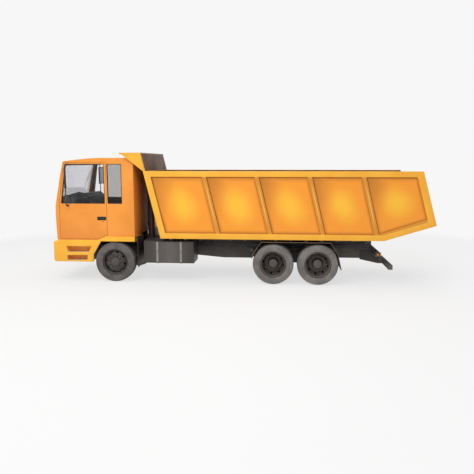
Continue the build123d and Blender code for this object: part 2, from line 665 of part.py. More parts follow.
# ================================================================ rear beam and under-run guard
BEAM_X = RAIL_END_X - 25.0
BEAM_REAR_X = BEAM_X - 100.0
GUARD_BAR = ((-3730.0, 425.0), (-3730.0, 535.0), (-3830.0, 535.0), (-3830.0, 425.0))
with BuildPart() as rear_guard:
    with BuildSketch(side_plane(1000)):
        Polygon((BEAM_X, 709), (BEAM_X, 827), (BEAM_REAR_X, 827), (BEAM_REAR_X, 709))
    extrude(amount=2000)
    for y in (RAIL_OUT, -RAIL_IN):
        with BuildSketch(side_plane(y)):
            Polygon((RAIL_END_X - 4 - SEAT, 715), (RAIL_END_X - 4 - SEAT, 820), (BEAM_X - 10, 820), (BEAM_X - 10, 715))
        extrude(amount=RAIL_W)
    with BuildSketch(side_plane(1200)):
        Polygon(*GUARD_BAR)
    extrude(amount=2400)
    for y in (RAIL_OUT - 10, -RAIL_OUT + 40):
        with BuildSketch(side_plane(y)):
            Polygon((-3130, RAIL_LOW_TAIL - SEAT), (-3327, RAIL_LOW_TAIL - SEAT), (-3740, 520), (-3740, 440), (-3600, 440), (-3300, 505), (-3130, 540))
        extrude(amount=30)
        with BuildSketch(side_plane(y)):
            Polygon((-3460, 712), (-3520, 712), (-3520, 500), (-3460, 480))
        extrude(amount=30)
save(rear_guard.part, "rear_guard")

with BuildPart() as tail_lamps:
    for y in (985, -765):
        with BuildSketch(side_plane(y)):
            Polygon((BEAM_REAR_X - SEAT, 722), (BEAM_REAR_X - SEAT, 814), (BEAM_REAR_X - 40, 814), (BEAM_REAR_X - 40, 722))
        extrude(amount=220)
save(tail_lamps.part, "tail_lamps")

# ================================================================ bumper
BUMPER_HALF = 1250.0
BUMPER_LOW = 520.0
BUMPER_TOP = CAB_SILL_Z - SEAT
STEP_DEPTH = 190.0
STEP_WALL = 8.0
# step pockets in the bumper's sides, seen from the side: X, Z
STEPS = (
    ((4481.0, 925.0), (3812.0, 930.0), (3888.0, 785.0), (4447.0, 777.0)),
    ((4465.0, 690.0), (3925.0, 698.0), (3930.0, 572.0), (4471.0, 563.0)),
)
BUMPER_SIDE = (
    (FRONT_X, 560.0), (FRONT_X - 6, 1040.0), (4690.0, BUMPER_TOP), (ARCH_END_X + 0.5, BUMPER_TOP), (CAB_ARCH_X + 0.5, CAB_ARCH_Z),
    (3763.0, 724.0), (3774.0, BUMPER_LOW), (FRONT_X - 30, BUMPER_LOW),
)
LAMP_Y = 930.0
LAMP_W = 330.0
LAMP_H = 150.0
LAMP_Z = 800.0
LAMP_DEEP = 40.0
with BuildPart() as bumper:
    with BuildSketch(side_plane(BUMPER_HALF)):
        Polygon(*BUMPER_SIDE)
    extrude(amount=2 * BUMPER_HALF)
    with BuildSketch(side_plane(BUMPER_HALF - BUMPER_WALL)):
        with Locations((FRONT_X - BUMPER_WALL - 1000, 800)):
            Rectangle(2000, 1200)
    extrude(amount=2 * (BUMPER_HALF - BUMPER_WALL), mode=Mode.SUBTRACT)
    for side, sign in SIDES:
        for step in STEPS:
            start = BUMPER_HALF - 5 if sign > 0 else -BUMPER_HALF + STEP_DEPTH + STEP_WALL
            with BuildSketch(side_plane(start)):
                Polygon(*step)
                offset(amount=STEP_WALL, kind=Kind.INTERSECTION, mode=Mode.REPLACE)
            extrude(amount=STEP_DEPTH + STEP_WALL - 5)
        for step in STEPS:
            start = BUMPER_HALF + 5 if sign > 0 else -BUMPER_HALF + STEP_DEPTH
            with BuildSketch(side_plane(start)):
                Polygon(*step)
            extrude(amount=STEP_DEPTH + 5, mode=Mode.SUBTRACT)
    with BuildSketch(cross_plane(FRONT_X - LAMP_DEEP)):
        with Locations((LAMP_Y, LAMP_Z), (-LAMP_Y, LAMP_Z)):
            Rectangle(LAMP_W, LAMP_H)
    extrude(amount=LAMP_DEEP + 10, mode=Mode.SUBTRACT)
save(bumper.part, "bumper")

with BuildPart() as headlamps:
    with BuildSketch(cross_plane(FRONT_X - LAMP_DEEP + SEAT)):
        with Locations((LAMP_Y, LAMP_Z), (-LAMP_Y, LAMP_Z)):
            Rectangle(LAMP_W - 2 * SEAT, LAMP_H - 2 * SEAT)
    extrude(amount=LAMP_DEEP - 14)
save(headlamps.part, "headlamps")

# ================================================================ cab
CAB_IN = CAB_HALF - CAB_WALL
ROOF_LINE = (NOSE[-1], (ROOF_BEND_X, CAB_ROOF_Z), (CAB_REAR_X, CAB_ROOF_Z))
CAB_SIDE = NOSE + ROOF_LINE[1:] + ((CAB_REAR_X, CAB_ARCH_Z), (CAB_ARCH_X, CAB_ARCH_Z), (ARCH_END_X, CAB_SILL_Z))
# door leaf in side view
DOOR = (
    (DOOR_FRONT_X, DOOR_LOW_Z), (DOOR_FRONT_X, WAIST_Z), (DOOR_TOP_FRONT_X, DOOR_TOP_Z), (DOOR_REAR_X, DOOR_TOP_Z),
    (DOOR_REAR_X, 1230.0), (3482.0, 1186.0), (3640.0, DOOR_LOW_Z),
)
DOOR_WINDOW = ((4580.0, WAIST_Z), (4438.0, WINDOW_TOP_Z), (3432.0, WINDOW_TOP_Z), (3432.0, WAIST_Z))
QUARTER_WINDOW = ((3354.0, WAIST_Z), (3354.0, WINDOW_TOP_Z), (2985.0, WINDOW_TOP_Z), (2985.0, WAIST_Z))

for side, sign in SIDES:
    start = CAB_HALF if sign > 0 else -CAB_IN
    with BuildPart() as cab_side:
        with BuildSketch(side_plane(start)):
            Polygon(*CAB_SIDE)
            Polygon(*QUARTER_WINDOW, mode=Mode.SUBTRACT)
        extrude(amount=CAB_WALL)
        with BuildSketch(side_plane(start)):
            Polygon(*DOOR)
            offset(amount=MOVING_CLEAR, kind=Kind.INTERSECTION, mode=Mode.REPLACE)
        extrude(amount=CAB_WALL, mode=Mode.SUBTRACT)
    save(cab_side.part, f"cab_side_{side}")

    with BuildPart() as door:
        with BuildSketch(side_plane(start)):
            Polygon(*DOOR)
            Polygon(*DOOR_WINDOW, mode=Mode.SUBTRACT)
        extrude(amount=CAB_WALL)
        # pull-handle pocket, with its bar across
        pocket = CAB_HALF if sign > 0 else -CAB_HALF + 20
        with BuildSketch(side_plane(pocket)):
            with Locations((3525, 1648)):
                Rectangle(222, 76)
        extrude(amount=20, mode=Mode.SUBTRACT)
        bar = CAB_HALF - 4 if sign > 0 else -CAB_HALF + 12
        with BuildSketch(side_plane(bar)):
            with Locations((3525, 1662)):
                Rectangle(222, 22)
        extrude(amount=8)
    save(door.part, f"door_{side}")

    pane_start = CAB_HALF - 26 if sign > 0 else -CAB_HALF + 26 + GLASS_T
    with BuildPart() as door_glass:
        with BuildSketch(side_plane(pane_start)):
            Polygon(*DOOR_WINDOW)
            offset(amount=-SEAT, kind=Kind.INTERSECTION, mode=Mode.REPLACE)
        extrude(amount=GLASS_T)
    save(door_glass.part, f"door_glass_{side}")

SCREEN_BACK = 44.0  # from the nose's face in to the glass
with BuildPart() as cab_front:
    with BuildSketch(side_plane(CAB_IN - SEAT)):
        Polygon(*(NOSE + tuple((x - CAB_WALL, z) for x, z in reversed(NOSE))))
    extrude(amount=2 * (CAB_IN - SEAT))
    with BuildSketch(side_plane(SCREEN_HALF)):
        with Locations((4650, (SCREEN_LOW_Z + SCREEN_TOP_Z) / 2)):
            Rectangle(600, SCREEN_TOP_Z - SCREEN_LOW_Z)
    extrude(amount=2 * SCREEN_HALF, mode=Mode.SUBTRACT)
    # grille slots across the nose
    with BuildSketch(cross_plane(4705)):
        with Locations((0, 1430)):
            with GridLocations(0, 84, 1, 5):
                Rectangle(1500, 48)
    extrude(amount=60, mode=Mode.SUBTRACT)
save(cab_front.part, "cab_front_panel")

with BuildPart() as glazing:
    screen_zs = (SCREEN_LOW_Z + SEAT, NOSE[3][1], SCREEN_TOP_Z - SEAT)
    with BuildSketch(side_plane(SCREEN_HALF - SEAT)):
        face_points = tuple((nose_x(z) - 20, z) for z in screen_zs)
        Polygon(*(face_points + tuple((x - GLASS_T, z) for x, z in reversed(face_points))))
    extrude(amount=2 * (SCREEN_HALF - SEAT))
    for y in (CAB_HALF - 26, -CAB_HALF + 26 + GLASS_T):
        with BuildSketch(side_plane(y)):
            Polygon(*QUARTER_WINDOW)
            offset(amount=-SEAT, kind=Kind.INTERSECTION, mode=Mode.REPLACE)
        extrude(amount=GLASS_T)
save(glazing.part, "cab_glazing")

with BuildPart() as cab_roof:
    with BuildSketch(side_plane(CAB_IN - SEAT)):
        inner = nose_x(NOSE[-1][1]) - CAB_WALL - SEAT
        Polygon((inner, NOSE[-1][1] + 3), (ROOF_BEND_X, CAB_ROOF_Z), (CAB_REAR_X, CAB_ROOF_Z),
                (CAB_REAR_X, CAB_ROOF_Z - CAB_ROOF_T), (ROOF_BEND_X, CAB_ROOF_Z - CAB_ROOF_T), (inner, NOSE[-1][1] - 44))
    extrude(amount=2 * (CAB_IN - SEAT))
save(cab_roof.part, "cab_roof")

with BuildPart() as cab_rear_wall:
    with BuildSketch(cross_plane(CAB_REAR_X)):
        with Locations((0, (CAB_FLOOR_Z + CAB_ROOF_Z - CAB_ROOF_T) / 2)):
            Rectangle(2 * (CAB_IN - SEAT), CAB_ROOF_Z - CAB_ROOF_T - CAB_FLOOR_Z - 2 * SEAT)
    extrude(amount=CAB_WALL)
save(cab_rear_wall.part, "cab_rear_wall")

with BuildPart() as cab_floor:
    floor_front = NOSE[0][0] - CAB_WALL - SEAT
    floor_rear = CAB_REAR_X + CAB_WALL + SEAT
    with BuildSketch(side_plane(CAB_IN - SEAT)):
        Polygon((floor_rear, CAB_FLOOR_Z), (floor_front, CAB_FLOOR_Z), (floor_front, CAB_FLOOR_Z + CAB_FLOOR_T),
                (floor_rear, CAB_FLOOR_Z + CAB_FLOOR_T))
    extrude(amount=2 * (CAB_IN - SEAT))
    # four mounts down to the rails
    with BuildSketch(Plane.XY.offset(RAIL_TOP + SEAT)):
        with Locations((4450, 390), (4450, -390), (2800, 390), (2800, -390)):
            Rectangle(120, 76)
    extrude(amount=CAB_FLOOR_Z - RAIL_TOP + 5)
save(cab_floor.part, "cab_floor")

DRIVER_Y = 600.0
COLUMN_R = 30.0
COLUMN_LENGTH = 150.0
column = Plane(origin=(4180, DRIVER_Y, 2140), x_dir=(0, 1, 0), z_dir=(0.62, 0, -0.78))
with BuildPart() as dashboard:
    with BuildSketch(side_plane(CAB_IN - 12)):
        against_nose = tuple((nose_x(z) - CAB_WALL - SEAT, z) for z in (1700.0, NOSE[1][1], NOSE[2][1], 2080.0))
        Polygon(*against_nose, (4560, 2170), (4330, 2185), (4230, 2110), (4250, 1900), (4420, 1700))
    extrude(amount=2 * (CAB_IN - 12))
    with BuildSketch(column):
        Circle(COLUMN_R + SEAT)
    extrude(amount=COLUMN_LENGTH + 40, mode=Mode.SUBTRACT)
save(dashboard.part, "dashboard")

with BuildPart() as steering_wheel:
    with BuildSketch(Plane(origin=(4180, DRIVER_Y, 2140), x_dir=(0.78, 0, 0.62), z_dir=(0, -1, 0))):
        with Locations((225, 0)):
            Circle(15)
    revolve(axis=Axis((4180, DRIVER_Y, 2140), (0.62, 0, -0.78)))
    with BuildSketch(column.offset(-12)):
        Circle(62)
        Rectangle(440, 40)
    extrude(amount=24)
    with BuildSketch(column):
        Circle(COLUMN_R)
    extrude(amount=COLUMN_LENGTH)
save(steering_wheel.part, "steering_wheel")

SEATS_Y = (DRIVER_Y, -DRIVER_Y)
SEAT_X = 3050.0
SEAT_FRAME_TOP = 1640.0
with BuildPart() as seat_frames:
    for y in SEATS_Y:
        with BuildSketch(Plane.XY.offset(CAB_FLOOR_Z + CAB_FLOOR_T + SEAT)):
            with Locations((SEAT_X + 230, y)):
                Rectangle(420, 420)
        extrude(amount=SEAT_FRAME_TOP - CAB_FLOOR_Z - CAB_FLOOR_T - SEAT)
        with BuildSketch(side_plane(y + 230)):
            Polygon((SEAT_X + 60, 1560), (SEAT_X + 60, SEAT_FRAME_TOP), (SEAT_X - 20, SEAT_FRAME_TOP),
                    (SEAT_X - 150, 2560), (SEAT_X - 180, 2560), (SEAT_X - 60, 1560))
        extrude(amount=460)
save(seat_frames.part, "seat_frames")

with BuildPart() as seat_cushions:
    for y in SEATS_Y:
        with BuildSketch(side_plane(y + 250)):
            Polygon((SEAT_X + 20, SEAT_FRAME_TOP + SEAT), (SEAT_X + 520, SEAT_FRAME_TOP + SEAT),
                    (SEAT_X + 540, 1780), (SEAT_X + 96, 1770), (SEAT_X + 20, 1700))
        extrude(amount=500)
        with BuildSketch(side_plane(y + 240)):
            back_low = SEAT_X - 20 - (1800 - SEAT_FRAME_TOP) * 130 / 920 + SEAT
            back_top = SEAT_X - 150 + SEAT
            Polygon((back_low, 1800), (back_low + 130, 1800), (back_top + 110, 2610), (back_top + 2, 2610), (back_top, 2560))
        extrude(amount=480)
save(seat_cushions.part, "seat_cushions")

# ================================================================ mirrors
MIRROR_X = 4400.0
MIRROR_Y = 1375.0
for side, sign in SIDES:
    with BuildPart() as mirror_arm:
        with BuildSketch(Plane.XY.offset(2430)):
            with Locations((MIRROR_X, sign * MIRROR_Y)):
                RectangleRounded(90, 200, 36)
        extrude(amount=550)
        # C-shaped tube from the door's frame round to the head
        with BuildSketch(Plane.XY.offset(1960)):
            with Locations((MIRROR_X + 20, sign * (MIRROR_Y - 40))):
                Circle(15)
        extrude(amount=1070)
        for z in (1975.0, 3015.0):
            reach = MIRROR_Y - 40 - CAB_HALF - SEAT
            start = sign * (CAB_HALF + SEAT)
            with BuildSketch(Plane(origin=(MIRROR_X + 20, start, z), x_dir=(1, 0, 0), z_dir=(0, sign, 0))):
                Circle(15)
            extrude(amount=reach + 15)
    save(mirror_arm.part, f"mirror_{side}")

# ================================================================ tipping body
BED_IN = BED_HALF - BED_WALL
BED_SIDE = (
    (BED_FRONT_LOW_X, BED_BOTTOM), (BED_FRONT_TOP_X, BED_TOP), (BED_REAR_TOP_X, BED_TOP), (TAIL_X, TAIL_Z),
    (BED_KINK_X, BED_BOTTOM),
)
RAKE = (BED_FRONT_TOP_X - BED_FRONT_LOW_X) / (BED_TOP - BED_BOTTOM)
TAIL_RAKE = (BED_REAR_TOP_X - TAIL_X) / (BED_TOP - TAIL_Z)
PANEL_TOP = BED_TOP - BED_RAIL
PANEL_LOW = BED_BOTTOM + BED_RAIL
PANEL_FRONT_TOP = 2216.0
PANEL_REAR_TOP = -4317.0
PANEL_REAR_LOW = (-4599.0, 1689.0)
PANEL_KINK_X = -3430.0


def panel_outlines():
    """The five sunk panels of a side, from front to rear, as outlines in side view."""
    drop = RAKE * (PANEL_TOP - PANEL_LOW)
    fronts = [PANEL_FRONT_TOP] + [x - RIB_W / 2 for x in RIBS_AT_TOP]
    rears = [x + RIB_W / 2 for x in RIBS_AT_TOP]
    panels = [
        ((f, PANEL_TOP), (r, PANEL_TOP), (r - drop, PANEL_LOW), (f - drop, PANEL_LOW))
        for f, r in zip(fronts, rears)
    ]
    # the last one ends on the raised tail, where its front edge meets the tail's line
    last = fronts[-1]
    climb = (PANEL_REAR_LOW[1] - PANEL_LOW) / (PANEL_KINK_X - PANEL_REAR_LOW[0])
    meet_x = (last - drop + RAKE * climb * PANEL_KINK_X) / (1 + RAKE * climb)
    meet_z = PANEL_LOW + climb * (PANEL_KINK_X - meet_x)
    panels.append(((last, PANEL_TOP), (PANEL_REAR_TOP, PANEL_TOP), PANEL_REAR_LOW, (meet_x, meet_z)))
    return panels


for side, sign in SIDES:
    with BuildPart() as bed_side:
        with BuildSketch(side_plane(BED_HALF if sign > 0 else -BED_IN)):
            Polygon(*BED_SIDE)
        extrude(amount=BED_WALL)
        outer = Plane(origin=(0, sign * BED_HALF, 0), x_dir=(sign * -1, 0, 0), z_dir=(0, sign, 0))
        with BuildSketch(outer):
            for panel in panel_outlines():
                Polygon(*[(x * -sign, z) for x, z in panel])
        extrude(amount=-PANEL_RECESS, mode=Mode.SUBTRACT)
    save(bed_side.part, f"bed_side_{side}")

with BuildPart() as bed_floor:
    floor_front = BED_FRONT_LOW_X - HEADBOARD_T - SEAT
    rise = FLOOR_T / cos(atan2(TAIL_Z - BED_BOTTOM, BED_KINK_X - TAIL_X))
    with BuildSketch(side_plane(BED_IN - SEAT)):
        Polygon((floor_front, BED_BOTTOM), (BED_KINK_X, BED_BOTTOM), (TAIL_X + 4, TAIL_Z), (TAIL_X + 4 + TAIL_RAKE * rise, TAIL_Z + rise),
                (BED_KINK_X + 8, BED_BOTTOM + FLOOR_T), (floor_front + RAKE * FLOOR_T, BED_BOTTOM + FLOOR_T))
    extrude(amount=2 * (BED_IN - SEAT))
    # shallow outriggers between the long runners and the sides
    for k in range(14):
        x = 1700.0 - 380.0 * k
        for y in (BED_IN - SEAT, -RAIL_OUT - 60):
            with BuildSketch(side_plane(y)):
                Polygon((x, BED_BOTTOM + 1), (x + 70, BED_BOTTOM + 1), (x + 70, BED_BOTTOM - 40), (x, BED_BOTTOM - 40))
            extrude(amount=BED_IN - SEAT - RAIL_OUT - 60)
save(bed_floor.part, "bed_floor")

RUNNER_END_X = TIP_PIVOT_X + 60.0
LUG_IN = RAIL_OUT + 6.0
LUG_T = 30.0
with BuildPart() as bed_runners:
    for side, sign in SIDES:
        with BuildSketch(side_plane(RAIL_OUT if sign > 0 else -RAIL_IN)):
            Polygon((1880, SUBFRAME_TOP + SEAT), (1880, BED_BOTTOM - SEAT), (RUNNER_END_X, BED_BOTTOM - SEAT), (RUNNER_END_X, SUBFRAME_TOP + SEAT))
        extrude(amount=RAIL_W)
        lug = LUG_IN + LUG_T if sign > 0 else -LUG_IN
        with BuildSketch(side_plane(lug)):
            Polygon((TIP_PIVOT_X - 70, TIP_PIVOT_Z), (TIP_PIVOT_X + 70, TIP_PIVOT_Z), (TIP_PIVOT_X + 190, BED_BOTTOM - SEAT), (TIP_PIVOT_X - 90, BED_BOTTOM - SEAT))
            with Locations((TIP_PIVOT_X, TIP_PIVOT_Z)):
                Circle(70)
                Circle(TIP_PIN_R + PIN_CLEAR, mode=Mode.SUBTRACT)
        extrude(amount=LUG_T)
        bridge = LUG_IN + 10 if sign > 0 else -RAIL_OUT + 10
        with BuildSketch(side_plane(bridge)):
            Polygon((RUNNER_END_X, SUBFRAME_TOP + 40), (RUNNER_END_X, BED_BOTTOM - SEAT), (RUNNER_END_X + 110, BED_BOTTOM - SEAT), (RUNNER_END_X + 110, SUBFRAME_TOP + 110))
        extrude(amount=LUG_IN - RAIL_OUT + 20)
save(bed_runners.part, "bed_runners")

EYE_X = 2550.0
EYE_Z = 2850.0
with BuildPart() as bed_headboard:
    with BuildSketch(side_plane(BED_IN - SEAT)):
        Polygon((headboard_x(BED_BOTTOM), BED_BOTTOM), (headboard_x(CANOPY_Z - CANOPY_T), CANOPY_Z - CANOPY_T),
                (headboard_x(CANOPY_Z - CANOPY_T) - HEADBOARD_T, CANOPY_Z - CANOPY_T), (headboard_x(BED_BOTTOM) - HEADBOARD_T, BED_BOTTOM))
    extrude(amount=2 * (BED_IN - SEAT))
    # the upper part widens over the side rails
    with BuildSketch(side_plane(BED_HALF - 16)):
        Polygon((headboard_x(BED_TOP + SEAT), BED_TOP + SEAT), (headboard_x(CANOPY_Z - CANOPY_T), CANOPY_Z - CANOPY_T),
                (headboard_x(CANOPY_Z - CANOPY_T) - HEADBOARD_T, CANOPY_Z - CANOPY_T), (headboard_x(BED_TOP) - HEADBOARD_T, BED_TOP + SEAT))
    extrude(amount=2 * (BED_HALF - 16))
    # stiffeners down the front face, and the hoist's cheeks
    for y in (900.0, 330.0, -250.0, -820.0):
        with BuildSketch(side_plane(y)):
            Polygon((headboard_x(1200) - 5, 1200), (headboard_x(1260) + 45, 1260), (headboard_x(3200) + 45, 3200), (headboard_x(3240) - 5, 3240))
        extrude(amount=80)
    for y in (75.0, -55.0):
        with BuildSketch(side_plane(y)):
            Polygon((headboard_x(2780) - 5, 2780), (EYE_X + 30, 2790), (EYE_X + 60, EYE_Z), (EYE_X + 30, 2910), (headboard_x(3100) - 5, 3100))
        extrude(amount=20)
save(bed_headboard.part, "bed_headboard")

with BuildPart() as bed_canopy:
    deck_rear = headboard_x(CANOPY_Z) - HEADBOARD_T
    with BuildSketch(side_plane(BED_HALF)):
        Polygon((CANOPY_TIP_X, CANOPY_Z), (deck_rear, CANOPY_Z), (deck_rear, CANOPY_Z - CANOPY_T + SEAT), (CANOPY_TIP_X, CANOPY_Z - CANOPY_T + SEAT))
        Polygon((CANOPY_TIP_X, CANOPY_Z), (CANOPY_TIP_X - 12, CANOPY_Z), (CANOPY_TIP_X - 22, CANOPY_Z - 42), (CANOPY_TIP_X - 10, CANOPY_Z - 42))
    extrude(amount=2 * BED_HALF)
    for y in (BED_HALF, -BED_HALF + 15.7):
        with BuildSketch(side_plane(y)):
            Polygon((CANOPY_TIP_X - 4, CANOPY_Z - 5), (deck_rear, CANOPY_Z - 5), (headboard_x(BED_TOP) - 40, BED_TOP + SEAT), (headboard_x(BED_TOP), BED_TOP + SEAT))
        extrude(amount=15.7)
save(bed_canopy.part, "bed_canopy")

# ================================================================ hoist
HOIST_STAGES = 3
rest_len = hypot(EYE_X - HOIST_X, EYE_Z - HOIST_Z)
hoist_axis = Plane(origin=(HOIST_X, 0, HOIST_Z), x_dir=(0, 1, 0), z_dir=(EYE_X - HOIST_X, 0, EYE_Z - HOIST_Z))
BARREL_R = 92.0
STAGE_WALL = 10.0
BARREL_TOP = rest_len - 130.0
with BuildPart() as hoist_barrel:
    with BuildSketch(hoist_axis.offset(62)):
        Circle(BARREL_R)
    extrude(amount=BARREL_TOP - 62)
    with BuildSketch(hoist_axis.offset(90)):
        Circle(BARREL_R - STAGE_WALL)
    extrude(amount=BARREL_TOP, mode=Mode.SUBTRACT)
    with BuildSketch(side_plane(HOIST_BOSS_HALF)):
        with Locations((HOIST_X, HOIST_Z)):
            Circle(HOIST_BOSS_R)
        Polygon((HOIST_X - 50, HOIST_Z), (HOIST_X + 50, HOIST_Z), (HOIST_X + 60, HOIST_Z + 70), (HOIST_X - 58, HOIST_Z + 70))
    extrude(amount=2 * HOIST_BOSS_HALF)
    with BuildSketch(side_plane(HOIST_BOSS_HALF)):
        with Locations((HOIST_X, HOIST_Z)):
            Circle(HOIST_PIN_R + PIN_CLEAR)
    extrude(amount=2 * HOIST_BOSS_HALF, mode=Mode.SUBTRACT)
save(hoist_barrel.part, "hoist_barrel")

for stage in range(1, HOIST_STAGES + 1):
    outer_r = BARREL_R - stage * (STAGE_WALL + PIN_CLEAR)
    with BuildPart() as tube:
        low = 90 + SEAT + 14 * (stage - 1)
        top = BARREL_TOP + 14 * stage
        with BuildSketch(hoist_axis.offset(low)):
            Circle(outer_r)
        extrude(amount=top - low)
        if stage < HOIST_STAGES:
            with BuildSketch(hoist_axis.offset(low + 14 - SEAT)):
                Circle(outer_r - STAGE_WALL)
            extrude(amount=top - low, mode=Mode.SUBTRACT)
        else:
            with BuildSketch(hoist_axis.offset(top - 5)):
                Circle(36)
            extrude(amount=rest_len - top)
            with BuildSketch(side_plane(54)):
                with Locations((EYE_X, EYE_Z)):
                    Circle(48)
            extrude(amount=108)
    save(tube.part, f"hoist_stage_{stage}")
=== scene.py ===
"""Dresses the scow-ended tipper lorry: finishes, tyres, panels, cab fittings, underframe and studio."""

import json
import logging
import math
from dataclasses import dataclass
from enum import Enum
from functools import reduce
from typing import Callable, Iterable, Sequence

import bmesh
import bpy
from bmesh.types import BMesh, BMVert
from bpy.types import ID, GeometryNodeTree, Material, Mesh, Node, NodeSocket, NodeTree, Object
from mathutils import Matrix, Vector


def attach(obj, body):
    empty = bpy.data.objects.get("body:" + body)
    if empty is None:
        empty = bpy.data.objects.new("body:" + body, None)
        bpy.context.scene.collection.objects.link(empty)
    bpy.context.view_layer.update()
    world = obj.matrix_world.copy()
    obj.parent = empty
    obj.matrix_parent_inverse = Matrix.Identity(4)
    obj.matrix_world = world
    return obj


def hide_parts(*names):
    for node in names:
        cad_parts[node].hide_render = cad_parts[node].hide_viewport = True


LOG = logging.getLogger("tipper")
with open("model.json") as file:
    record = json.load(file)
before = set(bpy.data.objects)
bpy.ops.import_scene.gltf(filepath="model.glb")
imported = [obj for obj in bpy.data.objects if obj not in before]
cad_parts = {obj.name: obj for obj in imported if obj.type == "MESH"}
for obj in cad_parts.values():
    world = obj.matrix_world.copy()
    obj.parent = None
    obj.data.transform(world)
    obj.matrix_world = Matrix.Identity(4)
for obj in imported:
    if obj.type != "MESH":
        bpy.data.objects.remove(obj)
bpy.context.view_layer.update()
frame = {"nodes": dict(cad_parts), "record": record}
NODE_BODY = {node: body for body, nodes in frame["record"]["behaviour"]["bodies"].items() for node in nodes}

Point2 = tuple[float, float]
Point3 = Sequence[float]


class Side(Enum):
    """A side of the lorry, with the sign of its Y."""

    LEFT = 1
    RIGHT = -1

    @property
    def label(self) -> str:
        """The side's word in piece names."""
        return self.name.lower()

    @property
    def aim(self) -> Point3:
        """The direction outwards."""
        return (0, self.value, 0)

    def y(self, out: float) -> float:
        """Y at a distance out from the lorry's middle."""
        return self.value * out


class Axis(Enum):
    """A direction that an outline is drawn across."""

    ACROSS = "y"
    ALONG = "x"
    UP = "z"

    def place(self, a: float, b: float, depth: float) -> Vector:
        """The point at (a, b) of an outline, at a depth along the axis.

        Args:
            a: the first number of the outline's point.
            b: its second.
            depth: how far along.

        Returns:
            The point in space.
        """
        if self is Axis.ACROSS:
            return Vector((a, depth, b))
        if self is Axis.ALONG:
            return Vector((depth, a, b))
        return Vector((a, b, depth))


# node trees
def linear(code: str) -> tuple[float, float, float, float]:
    """Scene-linear colour of a six-digit colour code.

    Args:
        code: the colour as it should look, such as "f5a23c".

    Returns:
        Red, green, blue and alpha.
    """
    parts = [int(code[i : i + 2], 16) / 255 for i in (0, 2, 4)]
    low = [c / 12.92 if c <= 0.04045 else ((c + 0.055) / 1.055) ** 2.4 for c in parts]
    return (low[0], low[1], low[2], 1.0)


class Value:
    """A number in a node tree, open to plain arithmetic."""

    def __init__(self, graph: "Graph", socket: NodeSocket) -> None:
        """Keeps the tree it belongs to and the socket it comes out of."""
        self.graph, self.socket = graph, socket

    def __add__(self, other: object) -> "Value":
        """The sum."""
        return self.graph.calc("ADD", self, other)

    def __sub__(self, other: object) -> "Value":
        """The difference."""
        return self.graph.calc("SUBTRACT", self, other)

    def __rsub__(self, other: object) -> "Value":
        """The difference from a plain number."""
        return self.graph.calc("SUBTRACT", other, self)

    def __mul__(self, other: object) -> "Value":
        """The product."""
        return self.graph.calc("MULTIPLY", self, other)

    def __abs__(self) -> "Value":
        """The size without its sign."""
        return self.graph.calc("ABSOLUTE", self)

    def __gt__(self, other: object) -> "Value":
        """1 where it is larger, else 0."""
        return self.graph.calc("GREATER_THAN", self, other)

    def __lt__(self, other: object) -> "Value":
        """1 where it is smaller, else 0."""
        return self.graph.calc("LESS_THAN", self, other)


class Graph:
    """A node tree that is built a node at a time."""

    def __init__(self, tree: NodeTree) -> None:
        """Starts the tree with nothing in it."""
        self.tree = tree
        tree.nodes.clear()

    def feed(self, socket: NodeSocket, value: object) -> None:
        """Links a socket to another, or sets its value.

        Args:
            socket: the input.
            value: a socket, a Value or a plain value.
        """
        value = value.socket if isinstance(value, Value) else value
        if isinstance(value, NodeSocket):
            self.tree.links.new(value, socket)
        else:
            socket.default_value = value

    def give(self, node: Node, given: dict) -> None:
        """Feeds a node's inputs, by name or number."""
        for key, value in given.items():
            self.feed(node.inputs[key], value)

    def add(self, kind: str, given: dict | None = None, **settings: object) -> Node:
        """A new node with its settings and inputs.

        Args:
            kind: the node's type.
            given: what its inputs get.
            settings: its other settings.

        Returns:
            The node.
        """
        node = self.tree.nodes.new(kind)
        for key, value in settings.items():
            setattr(node, key, value)
        self.give(node, given or {})
        return node

    def calc(self, operation: str, a: object, b: object = 0.0) -> Value:
        """One step of arithmetic on two numbers."""
        return Value(self, self.add("ShaderNodeMath", {0: a, 1: b}, operation=operation).outputs[0])

    def most(self, *values: object) -> Value:
        """The largest of some numbers."""
        return reduce(lambda a, b: self.calc("MAXIMUM", a, b), values)

    def seen_straight(self) -> Value:
        """1 for camera, glossy and transmission rays."""
        rays = self.add("ShaderNodeLightPath").outputs
        return self.most(rays["Is Camera Ray"], rays["Is Glossy Ray"], rays["Is Transmission Ray"])

    def mix(self, share: object, first: Node, second: Node) -> NodeSocket:
        """A surface between those of two shader nodes, by share of the second."""
        return self.add("ShaderNodeMixShader", {0: share, 1: first.outputs[0], 2: second.outputs[0]}).outputs[0]


